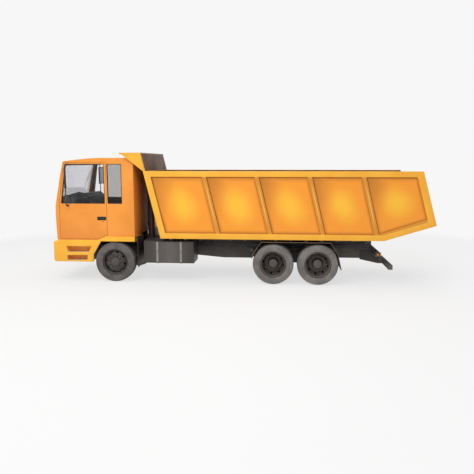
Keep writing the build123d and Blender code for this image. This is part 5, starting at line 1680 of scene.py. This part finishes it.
@dataclass
class Mirror:
    """A door mirror turned towards the driver, on its bent tube."""

    at: Point2 = (4.388, 1.375)
    low: float = 2.430
    top: float = 2.930
    width: float = 0.190
    depth: float = 0.052
    turn: float = math.radians(22.5)
    tube_r: float = 0.013
    tube_x: float = 4.402
    tube_y: float = 1.335
    feet: Point2 = (1.975, 3.015)
    bend: float = 0.060
    half: float = 1.2205

    def plate(self, width: float, depth: float, shift: float, side: Side, round_by: float) -> list[Point2]:
        """The head's outline from above, moved rearwards by a distance.

        Args:
            width: across the glass.
            depth: of the head.
            shift: distance rearwards.
            side: the lorry's side.
            round_by: of the corners.

        Returns:
            The outline.
        """
        out = Vector((-math.sin(self.turn), math.cos(self.turn)))
        back = Vector((-math.cos(self.turn), -math.sin(self.turn)))
        corners = []
        for a, b in ((-1, -1), (1, -1), (1, 1), (-1, 1)):
            spot = Vector(self.at) + out * a * width / 2 + back * (b * depth / 2 + shift)
            corners.append((spot.x, side.y(spot.y)))
        return rounded(corners, round_by, 4)

    def build(self, side: Side) -> None:
        """One mirror: head, glass, tube and feet.

        Args:
            side: the lorry's side.
        """
        body = f"door_{side.label}"
        blank = Blank()
        blank.prism(self.plate(self.width, self.depth, 0.0, side, 0.02), Axis.UP, self.low, self.top)
        glass = self.plate(self.width - 0.03, 0.004, self.depth / 2 - 0.0005, side, 0.002)
        blank.prism(glass, Axis.UP, self.low + 0.02, self.top - 0.02, 1)
        out = side.y(self.tube_y)
        foot = side.y(self.half)
        low, top = self.feet
        corners = [(self.tube_x, foot, low), (self.tube_x, out, low), (self.tube_x, out, top), (self.tube_x, foot, top)]
        blank.tube(curve_points(corners, self.bend), self.tube_r, 12, 2)
        for z in self.feet:
            blank.turned(
                ((0.0, 0.0), (0.0, 0.030), (0.006, 0.029), (0.010, 0.018), (0.024, 0.0165), (0.026, 0.0)),
                (self.tube_x, foot, z), side.aim, 24, look=2,
            )
        node = f"mirror_{side.label}"
        blank.piece(f"{node}_shape", (PLASTIC, MIRROR_GLASS, CHASSIS), 0.004, body=body, stands_for=(node,))


@dataclass
class Bumper:
    """The deep bumper with its entry steps, headlamps and the wing along the cab's foot."""

    half: float = 1.250
    front_x: float = 4.820
    steps: tuple[tuple[Point2, ...], ...] = (
        ((4.481, 0.925), (3.812, 0.930), (3.888, 0.785), (4.447, 0.777)),
        ((4.465, 0.690), (3.925, 0.698), (3.930, 0.572), (4.471, 0.563)),
    )
    cab_half: float = 1.220
    cab_rear_x: float = 2.675
    wing_in: float = 0.690
    wing_line: tuple[Point2, ...] = (
        (2.645, 1.060), (3.5605, 1.060), (3.6025, 1.0915), (3.670, 1.0915), (3.620, 1.108), (3.462, 1.178),
        (3.372, 1.187), (2.645, 1.187),
    )
    lamp_y: float = 0.930
    lamp_w: float = 0.330
    lamp_h: float = 0.150
    lamp_z: float = 0.800
    lamp_front: float = 4.806
    lamp_back: float = 4.7803

    BULB = ((0.001, 0.0), (0.002, 0.009), (0.013, 0.008), (0.016, 0.0))
    LINER = ((3.815, 0.545), (3.815, 1.045), (3.60, 1.045), (3.60, 1.040), (3.809, 1.040), (3.809, 0.545))

    def behind_face(self, c: Vector, n: Vector) -> bool:
        """Whether a face lies inside the bumper's shell."""
        return abs(c.y) < 1.192 and 3.60 < c.x < 4.762 and abs(n.z) < 0.5

    def in_step(self, c: Vector, n: Vector) -> bool:
        """Whether a face lines a step's pocket.

        Args:
            c: the face's middle.
            n: the way it faces; not used.

        Returns:
            Whether it does.
        """
        if abs(c.y) > self.half - 0.001:
            return False
        return any(
            min(x for x, _ in step) - 0.01 < c.x < max(x for x, _ in step) + 0.01
            and min(z for _, z in step) - 0.01 < c.z < max(z for _, z in step) + 0.01 and abs(c.y) > 1.055
            for step in self.steps
        )

    def treads(self) -> None:
        """Grip studs and a nosing on each step's floor."""
        studs = StudRow(6, 0.009, 0.006, 1.15)
        nosing = Blank()
        for side in Side:
            for step in self.steps:
                (front_x, front_z), (rear_x, rear_z) = step[3], step[2]
                for row in range(4):
                    y = side.y(self.half - 0.045 - 0.038 * row)
                    start, end = (front_x - 0.05, y, front_z + 0.0005), (rear_x + 0.05, y, rear_z + 0.0005)
                    studs.along(start, end, 12, (0, 0, 1))
                y0, y1 = sorted((side.y(self.half - 0.022), side.y(self.half - 0.002)))
                foot = [(front_x - 0.015, front_z), (rear_x + 0.015, rear_z)]
                outline = foot + [(x, z + 0.010) for x, z in reversed(foot)]
                nosing.prism(outline, Axis.ACROSS, y0, y1)
        studs.piece("step_studs", STRAP, slot="bumper_paint")
        nosing.piece("step_nosings", STRAP, 0.002, slot="bumper_paint")

    def headlamps(self) -> None:
        """Twin round reflectors and a turn lamp behind a clear cover, on each side."""
        blank = Blank()
        for side in Side:
            middle = side.y(self.lamp_y)
            shell = oblong((middle, self.lamp_z), self.lamp_w - 0.002, self.lamp_h - 0.002, 0.016)
            blank.prism(shell, Axis.ALONG, self.lamp_back, self.lamp_back + 0.004, 0)
            blank.frame_ring(shell, 0.010, Axis.ALONG, self.lamp_back, self.lamp_front - 0.003, 0)
            for shift, radius in ((-0.085, 0.062), (0.040, 0.052)):
                centre = (self.lamp_back + 0.004, middle - side.y(shift), self.lamp_z)
                bowl = [(0.001, 0.0), (0.001, 0.010), (0.004, 0.030), (0.010, radius - 0.008), (0.016, radius)]
                rim = [(0.0175, radius + 0.003), (0.0, radius + 0.003)]
                blank.turned(bowl + rim, centre, (1, 0, 0), 40, look=1)
                blank.turned(self.BULB, centre, (1, 0, 0), 16, look=2)
            turn_lamp = oblong((middle + side.y(0.133), self.lamp_z), 0.038, self.lamp_h - 0.03, 0.008)
            blank.prism(turn_lamp, Axis.ALONG, self.lamp_back + 0.003, self.lamp_front - 0.006, 3)
        blank.piece("headlamp_optics", (PLASTIC, REFLECTOR, CLEAR, AMBER), slot="lamp_clear", stands_for=("headlamps",))
        cover = Blank()
        for side in Side:
            pane = oblong((side.y(self.lamp_y), self.lamp_z), self.lamp_w - 0.006, self.lamp_h - 0.006, 0.014)
            cover.prism(pane, Axis.ALONG, self.lamp_front - 0.003, self.lamp_front)
        cover.piece("headlamp_covers", GLASS, slot="lamp_clear")

    def wing(self) -> None:
        """The band that carries the bumper's line along the cab's foot and round its rear corner."""
        blank = Blank()
        for side in Side:
            y0, y1 = side.y(self.cab_half + 0.0005), side.y(self.half)
            blank.prism(self.wing_line, Axis.ACROSS, y0, y1)
            rear, front = self.wing_line[0][0], self.cab_rear_x - 0.0005
            low, high = self.wing_line[0][1], self.wing_line[-1][1]
            y2 = side.y(self.wing_in)
            blank.prism(rounded([(rear, y1), (rear, y2), (front, y2), (front, y1)], 0.002, 1), Axis.UP, low, high)
        blank.piece("bumper_wings", FASCIA, 0.007)
        liner = Blank()
        for side in Side:
            liner.across(side, self.LINER, 0.52, 1.188)
        liner.piece("arch_liners", PLASTIC, 0.001)

    def build(self) -> None:
        """All of the bumper."""
        self.wing()
        # The step pockets take the painted light.
        softened("bumper", FASCIA, 0.007, FASCIA_EDGE_HIGHLIGHT, [(self.behind_face, CHASSIS), (self.in_step, STEP_RECESS_LIGHT)])
        self.treads()
        self.headlamps()
        bolts = StudRow(6, 0.012, 0.008, 1.5)
        for side in Side:
            for z in (0.60, 1.02):
                bolts.at((self.front_x - 0.004, side.y(0.43), z), (1, 0, 0))
        bolts.piece("bumper_bolts", BOLT, slot="bumper_paint")


# cab interior
@dataclass
class Seats:
    """Two padded seats with a paler welt of cloth down their sides."""

    rows: tuple[float, ...] = (0.600, -0.600)
    cushion: tuple[Point2, ...] = ((3.082, 1.652), (3.558, 1.652), (3.572, 1.764), (3.160, 1.758), (3.082, 1.700))
    cushion_half: float = 0.232
    back: tuple[Point2, ...] = (
        (3.022, 1.812), (3.122, 1.812), (3.078, 2.200), (3.010, 2.592), (2.920, 2.596), (2.914, 2.560),
    )
    back_half: float = 0.222
    frame_top: float = 1.6415
    shell_foot: Point2 = (3.030, 1.640)
    lean: float = 0.1413
    voxel: float = 0.008
    cap: float = 0.024
    pressure: float = 4.0
    frames: int = 20
    channels: tuple[float, ...] = (-0.105, 0.105)

    def swollen(self, name: str, outline: Sequence[Point2], half: float, hold: Callable[[Vector], Vector]) -> Mesh:
        """A pad blown up from a slightly smaller block.

        Args:
            name: the pad's name.
            outline: its side view.
            half: half its width.
            hold: moves a point out of what the pad rests on.

        Returns:
            The pad's mesh, about the middle of the lorry.
        """
        blank = Blank()
        blank.prism(rounded(outline, 0.03, 3), Axis.ACROSS, -half, half)
        bmesh.ops.recalc_face_normals(blank.work, faces=blank.work.faces)
        pad = placed(name, mesh_of(blank.work, name))
        grid = pad.modifiers.new("grid", "REMESH")
        grid.mode = "VOXEL"
        grid.voxel_size = self.voxel
        plain_mesh(pad)
        start = [v.co.copy() for v in pad.data.vertices]
        cloth = pad.modifiers.new("cloth", "CLOTH")
        cloth.settings.use_pressure = True
        cloth.settings.uniform_pressure_force = self.pressure
        cloth.settings.effector_weights.gravity = 0.0
        for frame_number in range(1, self.frames + 1):
            bpy.context.scene.frame_set(frame_number)
        graph = bpy.context.evaluated_depsgraph_get()
        moved = [v.co.copy() for v in pad.evaluated_get(graph).data.vertices]
        pad.modifiers.clear()
        bpy.context.scene.frame_set(1)
        for vertex, before, after in zip(pad.data.vertices, start, moved):
            step = after - before
            if step.length > self.cap:
                step = step.normalized() * self.cap
            spot = before + step
            for channel in self.channels:
                spot -= vertex.normal * 0.007 * math.exp(-(((spot.y - channel) / 0.010) ** 2))
            vertex.co = hold(spot)
        finer = pad.modifiers.new("finer", "SUBSURF")
        finer.levels = finer.render_levels = 1
        result = plain_mesh(pad).data
        bpy.data.objects.remove(pad)
        return result

    def on_frame(self, spot: Vector) -> Vector:
        """Keeps a cushion's point above the seat frame."""
        return Vector((spot.x, spot.y, max(spot.z, self.frame_top)))

    def off_shell(self, spot: Vector) -> Vector:
        """Keeps a back's point in front of the seat shell."""
        shell = self.shell_foot[0] - self.lean * (spot.z - self.shell_foot[1]) + 0.0015
        return Vector((max(spot.x, shell), spot.y, spot.z))

    def build(self) -> None:
        """Both seats, from one cushion and one back."""
        pads = {
            "cushion": self.swollen("cushion", self.cushion, self.cushion_half, self.on_frame),
            "back": self.swollen("back", self.back, self.back_half, self.off_shell),
        }
        first = ("seat_cushions",)
        for side, y in zip(Side, self.rows):
            for kind, pad in pads.items():
                mesh = pad.copy()
                mesh.transform(Matrix.Translation((0.0, y, 0.0)))
                mesh.materials.clear()
                for face in mesh.polygons:
                    face.material_index = 1 if abs(face.normal.y) > 0.6 else 0
                made = finish_piece(mesh, f"seat_{kind}_{side.label}", [SEAT, SEAT_SIDE], stands_for=first, smooth=60)
                first = ()
        softened("seat_frames", PLASTIC, 0.006)


@dataclass
class Dashboard:
    """The dashboard with its hooded dials, vents and the steering wheel."""

    driver_y: float = 0.600
    hood: tuple[Point2, ...] = (
        (4.268, 2.150), (4.262, 2.225), (4.300, 2.262), (4.400, 2.268), (4.520, 2.222), (4.540, 2.190),
    )
    hood_half: float = 0.225
    pad: tuple[Point2, ...] = (
        (4.2285, 2.1095), (4.329, 2.1855), (4.560, 2.1705), (4.600, 2.165), (4.572, 2.205), (4.330, 2.222),
        (4.224, 2.126),
    )
    pad_half: float = 1.140
    dial_at: Point2 = (4.2585, 2.1890)
    face_aim: Point3 = (-0.97, 0.0, 0.24)

    PIN = ((0.004, 0.0), (0.004, 0.004), (0.008, 0.003), (0.0085, 0.0))

    def build(self) -> None:
        """All of the dashboard."""
        softened("dashboard", LINING, 0.012)
        softened("steering_wheel", PLASTIC, 0.003)
        blank = Blank()
        blank.prism(self.hood, Axis.ACROSS, self.driver_y - self.hood_half, self.driver_y + self.hood_half)
        blank.prism(self.pad, Axis.ACROSS, -self.pad_half, self.pad_half, 1)
        blank.piece("dial_hood", (PLASTIC, LINING), 0.010, slot="cab_lining")
        dials = Blank()
        for shift, radius in ((-0.085, 0.034), (0.0, 0.024), (0.085, 0.034)):
            centre = (self.dial_at[0], self.driver_y + shift, self.dial_at[1])
            ring = [(0.0, 0.0), (0.0, radius), (0.008, radius), (0.010, radius - 0.003), (0.005, radius - 0.005)]
            dials.turned(ring + [(0.004, 0.0)], centre, self.face_aim, 32)
            dials.turned(self.PIN, centre, self.face_aim, 12, look=1)
        for y in (-0.90, -0.15, 0.15):
            for row in range(4):
                z = 2.02 + 0.018 * row
                x = 4.2365 + (2.12 - z) * 0.0636
                dials.block((x - 0.006, y - 0.07, z), (x + 0.006, y + 0.07, z + 0.008), 0)
        dials.piece("dials_and_vents", (PLASTIC, PLATE), slot="cab_lining")


# underframe
@dataclass
class Underframe:
    """Frame, tanks, mudguards, rear guard and lamps."""

    rail_out: float = 0.430
    tank_out: float = 1.200
    tank_low: float = 0.500
    tank_top: float = 1.095
    cap_x: float = 1.760
    guard_line: tuple[Point2, ...] = (
        (-0.322, 0.665), (-0.367, 0.811), (-0.566, 1.090), (-2.285, 1.090), (-2.472, 0.808), (-2.567, 0.410),
    )
    guard_out: float = 1.266
    lamp_ys: tuple[float, ...] = (0.953, 0.875, 0.797)
    lamp_half: float = 0.035
    lamp_x: Point2 = (-3.5405, -3.580)
    lamp_z: Point2 = (0.722, 0.814)
    bracket: Point2 = (-0.255, 0.765)
    marker: Point2 = (-3.492, 0.768)

    CAP = ((-0.004, 0.0), (-0.004, 0.052), (0.012, 0.050), (0.014, 0.043), (0.032, 0.042), (0.037, 0.036), (0.037, 0.0))
    DRAIN = ((-0.003, 0.0), (-0.003, 0.020), (0.010, 0.018), (0.014, 0.0))
    PIVOT = ((0.0, 0.0), (0.0, 0.034), (0.020, 0.032), (0.024, 0.022), (0.014, 0.018), (0.014, 0.0))
    GUSSET = ((-3.13, 0.56), (-3.13, 0.80), (-3.45, 0.80), (-3.53, 0.71), (-3.61, 0.60), (-3.61, 0.475), (-3.31, 0.53))

    def on_strap(self, c: Vector, n: Vector) -> bool:
        """Whether a face of the fuel tank belongs to a strap, which stands out from it."""
        lip = 0.002
        return c.y > self.tank_out + lip or c.z > self.tank_top + lip or c.z < self.tank_low - lip

    def tanks(self) -> None:
        """The fuel tank with its straps and cap, and the boxes on the right."""
        # The tanks' tops take the painted shade.
        softened("fuel_tank", TANK, 0.003, zones=[(self.on_strap, STRAP), (lambda c, n: n.z > 0.25, TANK_TOP_SHADE)])
        softened("hydraulic_tank", TANK, 0.006, zones=[(lambda c, n: n.z > 0.6, TANK_TOP_SHADE)])
        softened("battery_box", PLASTIC, 0.006)
        blank = Blank()
        blank.turned(self.CAP, (self.cap_x, 1.08, self.tank_top), (0, 0, 1), 32)
        blank.turned(self.CAP, (1.60, -0.80, self.tank_top), (0, 0, 1), 32)
        blank.turned(self.DRAIN, (1.30, 0.85, self.tank_low), (0, 0, -1), 6)
        lid = oblong((2.1735, -0.795), 0.50, 0.62, 0.03)
        blank.prism(lid, Axis.UP, 1.0085, 1.022, 1)
        for x in (2.06, 2.29):
            blank.prism(oblong((x, 0.985), 0.030, 0.070, 0.008), Axis.ACROSS, -1.1595, -1.168, 0)
        blank.piece("tank_caps_and_lid", (STRAP, PLASTIC), 0.003)
        bolts = StudRow(6, 0.009, 0.007, 1.6)
        for x in (2.099, 1.491):
            bolts.at((x, self.tank_out + 0.0075, 0.78), (0, 1, 0))
            bolts.at((x, self.tank_out + 0.0075, 0.83), (0, 1, 0))
        bolts.piece("tank_strap_bolts", BOLT, slot="tank_steel")

    def guards(self) -> None:
        """Mudguards with a rolled edge and stay bolts."""
        softened("mudguards", GUARD, 0.002)
        blank = Blank()
        stays = StudRow(6, 0.010, 0.006, 1.6)
        for side in Side:
            y = side.y(self.guard_out)
            path = curve_points([(x, y, z) for x, z in self.guard_line], 0.02, 3)
            blank.tube(path, 0.0085, 10)
            for x in (-0.80, -1.425, -2.05):
                for inboard in (0.72, 1.18):
                    stays.at((x, side.y(inboard), 1.0902), (0, 0, 1))
        blank.piece("mudguard_edges", GUARD_EDGE_HIGHLIGHT)
        stays.piece("mudguard_bolts", BOLT, slot="black_plastic")

    def frame(self) -> None:
        """Frame rails, axles and springs with their bolts."""
        for node, look, bevel in (
            ("ladder_frame", CHASSIS, 0.003), ("tipper_subframe", SUBFRAME_SHADE, 0.003), ("front_axle", CHASSIS, 0.006),
            ("rear_axles", CHASSIS, 0.004), ("propshafts", CHASSIS, 0.003), ("leaf_springs", CHASSIS, 0.002),
        ):
            softened(node, look, bevel)
        softened("engine_and_gearbox", ENGINE, 0.02)
        softened("exhaust_silencer", TANK, 0.004)
        bolts = StudRow(6, 0.011, 0.009, 1.5)
        plates = Blank()
        for side in Side:
            y = side.y(self.rail_out + 0.0003)
            for k in range(9):
                for shift in (0.0, 0.09):
                    for z in (0.735, 0.805):
                        bolts.at((2.62 - 0.70 * k + shift, y, z), side.aim)
            x, z = self.bracket
            outline = [(x - 0.10, z + 0.065), (x + 0.07, z + 0.065), (x + 0.02, z - 0.085), (x - 0.10, z - 0.085)]
            plates.prism(rounded(outline, 0.02, 3), Axis.ACROSS, y, y + side.y(0.012))
            bolts.circle((x - 0.035, y + side.y(0.012), z), side.aim, 0.045, 4, 0.6)
            plates.turned(self.PIVOT, (x - 0.035, y + side.y(0.012), z), side.aim, 24, look=1)
        bolts.piece("frame_bolts", BOLT)
        plates.piece("frame_plates", (CHASSIS, STRAP), 0.002)

    def rear(self) -> None:
        """The rear guard and its three-part lamps."""
        softened("rear_guard", CHASSIS, 0.006)
        blank = Blank()
        near, far = self.lamp_x
        low, high = self.lamp_z
        for side in Side:
            y0, y1 = sorted((side.y(0.766), side.y(0.984)))
            blank.block((near - 0.012, y0, low), (near, y1, high), 0)
            for k, y in enumerate(self.lamp_ys):
                lens = oblong((side.y(y), (low + high) / 2), 2 * self.lamp_half, high - low - 0.006, 0.008)
                blank.prism(lens, Axis.ALONG, near - 0.010, far, (2, 1, 3)[k])
            marker = oblong(self.marker, 0.082, 0.072, 0.012)
            blank.across(side, marker, 0.9995, 1.010, 0)
            blank.across(side, oblong(self.marker, 0.050, 0.040, 0.008), 1.009, 1.013, 2)
            blank.across(side, rounded(self.GUSSET, 0.01, 2), 0.4303, 0.4363, 0)
        blank.piece(
            "tail_lamps_shape", (PLASTIC, RED, AMBER, CLEAR), 0.003, slot="lamp_red", stands_for=("tail_lamps",),
        )

    def build(self) -> None:
        """All of the underframe."""
        self.frame()
        self.tanks()
        self.guards()
        self.rear()


@dataclass
class Hoist:
    """The telescopic hoist in front of the body, and the steering linkage."""

    stages: tuple[int, ...] = (1, 2, 3)

    def build(self) -> None:
        """Barrel, stages, knuckles and tie rod."""
        softened("hoist_barrel", BARREL, 0.002)
        for stage in self.stages:
            softened(f"hoist_stage_{stage}", CHROME, 0.001)
        for side in Side:
            softened(f"knuckle_{side.label}", CHASSIS, 0.004)
        softened("tie_rod", CHASSIS, 0.002)


# studio
@dataclass
class Studio:
    """Pale floor, soft light and the camera."""

    camera_at: Point3 = (-1.0337, 14.5, 3.0858)
    camera_turn: float = 4.6595
    camera_dip: float = 8.0213
    lens: float = 40.54
    sensor: float = 36.0
    backdrop: float = 0.93
    sky: float = 0.6
    floor_half: float = 40.0
    floor_glow: float = 0.72
    floor_tone: tuple[float, ...] = (0.93, 0.93, 0.93, 1.0)
    floor_z: float = -0.0008
    fade: Point2 = (6.0, 13.0)
    white: tuple[float, ...] = (1.0, 1.0, 1.0, 1.0)
    middle: Point3 = (0.0, 0.0, 1.2)

    def camera(self) -> None:
        """The camera, turned a little forward and dipped."""
        data = bpy.data.cameras.new("camera")
        data.lens = self.lens
        data.sensor_width = self.sensor
        data.clip_end = 200.0
        made = placed("camera", data)
        turn, dip = math.radians(self.camera_turn), math.radians(self.camera_dip)
        ahead = Vector((math.sin(turn) * math.cos(dip), -math.cos(turn) * math.cos(dip), -math.sin(dip)))
        made.location = self.camera_at
        made.rotation_euler = ahead.to_track_quat("-Z", "Y").to_euler()
        bpy.context.scene.camera = made

    def sky_light(self) -> None:
        """The world: even pale light, and the backdrop's own tone where it is seen."""
        world = bpy.data.worlds.new("studio")
        bpy.context.scene.world = world
        world.use_nodes = True
        graph = Graph(world.node_tree)
        light, seen = (
            graph.add("ShaderNodeBackground", {"Color": self.white, "Strength": strength})
            for strength in (self.sky, self.backdrop)
        )
        graph.add("ShaderNodeOutputWorld", {0: graph.mix(graph.seen_straight(), light, seen)})

    def floor(self) -> None:
        """The floor, which fades into the backdrop away from the lorry."""
        recipe = Recipe("studio_floor")
        recipe.give(recipe.shader, {"Base Color": self.floor_tone, "Roughness": 1.0, "Specular IOR Level": 0.0})
        glow = recipe.add("ShaderNodeEmission", {"Strength": self.backdrop})
        length = recipe.add("ShaderNodeVectorMath", {0: recipe.where}, operation="LENGTH")
        far = recipe.span(length.outputs["Value"], *self.fade)
        share = recipe.most(far, self.floor_glow) * recipe.seen_straight()
        recipe.give(recipe.output, {"Surface": recipe.mix(share, recipe.shader, glow)})
        mesh = bpy.data.meshes.new("floor")
        h = self.floor_half
        corners = [(a * h, b * h, self.floor_z) for a, b in ((-1, -1), (1, -1), (1, 1), (-1, 1))]
        mesh.from_pydata(corners, [], [(0, 1, 2, 3)])
        mesh.materials.append(recipe.material)
        placed("floor", mesh)

    def lamp(self, name: str, at: Point3, size: float, power: float) -> None:
        """One soft square lamp aimed at the lorry's middle.

        Args:
            name: its name.
            at: its place.
            size: of its square.
            power: in watts.
        """
        data = bpy.data.lights.new(name, "AREA")
        data.size = size
        data.energy = power
        made = placed(name, data)
        made.location = at
        made.rotation_euler = (Vector(self.middle) - Vector(at)).to_track_quat("-Z", "Y").to_euler()

    def build(self) -> None:
        """All of the studio."""
        self.camera()
        self.sky_light()
        self.floor()
        self.lamp("key_lamp", (4.0, 11.0, 12.0), 9.0, 1000.0)
        self.lamp("top_lamp", (-2.0, -2.0, 15.0), 12.0, 450.0)


def main() -> None:
    """Builds each sub-assembly in order."""
    logging.basicConfig(level=logging.INFO, format="%(message)s")
    bpy.context.scene.view_settings.view_transform = "Standard"
    Studio().build()
    TippingBody().build()
    RunningGear().build()
    Cab().build()
    for side in Side:
        Mirror().build(side)
    Bumper().build()
    Seats().build()
    Dashboard().build()
    Underframe().build()
    Hoist().build()


if __name__ == "__main__":
    main()
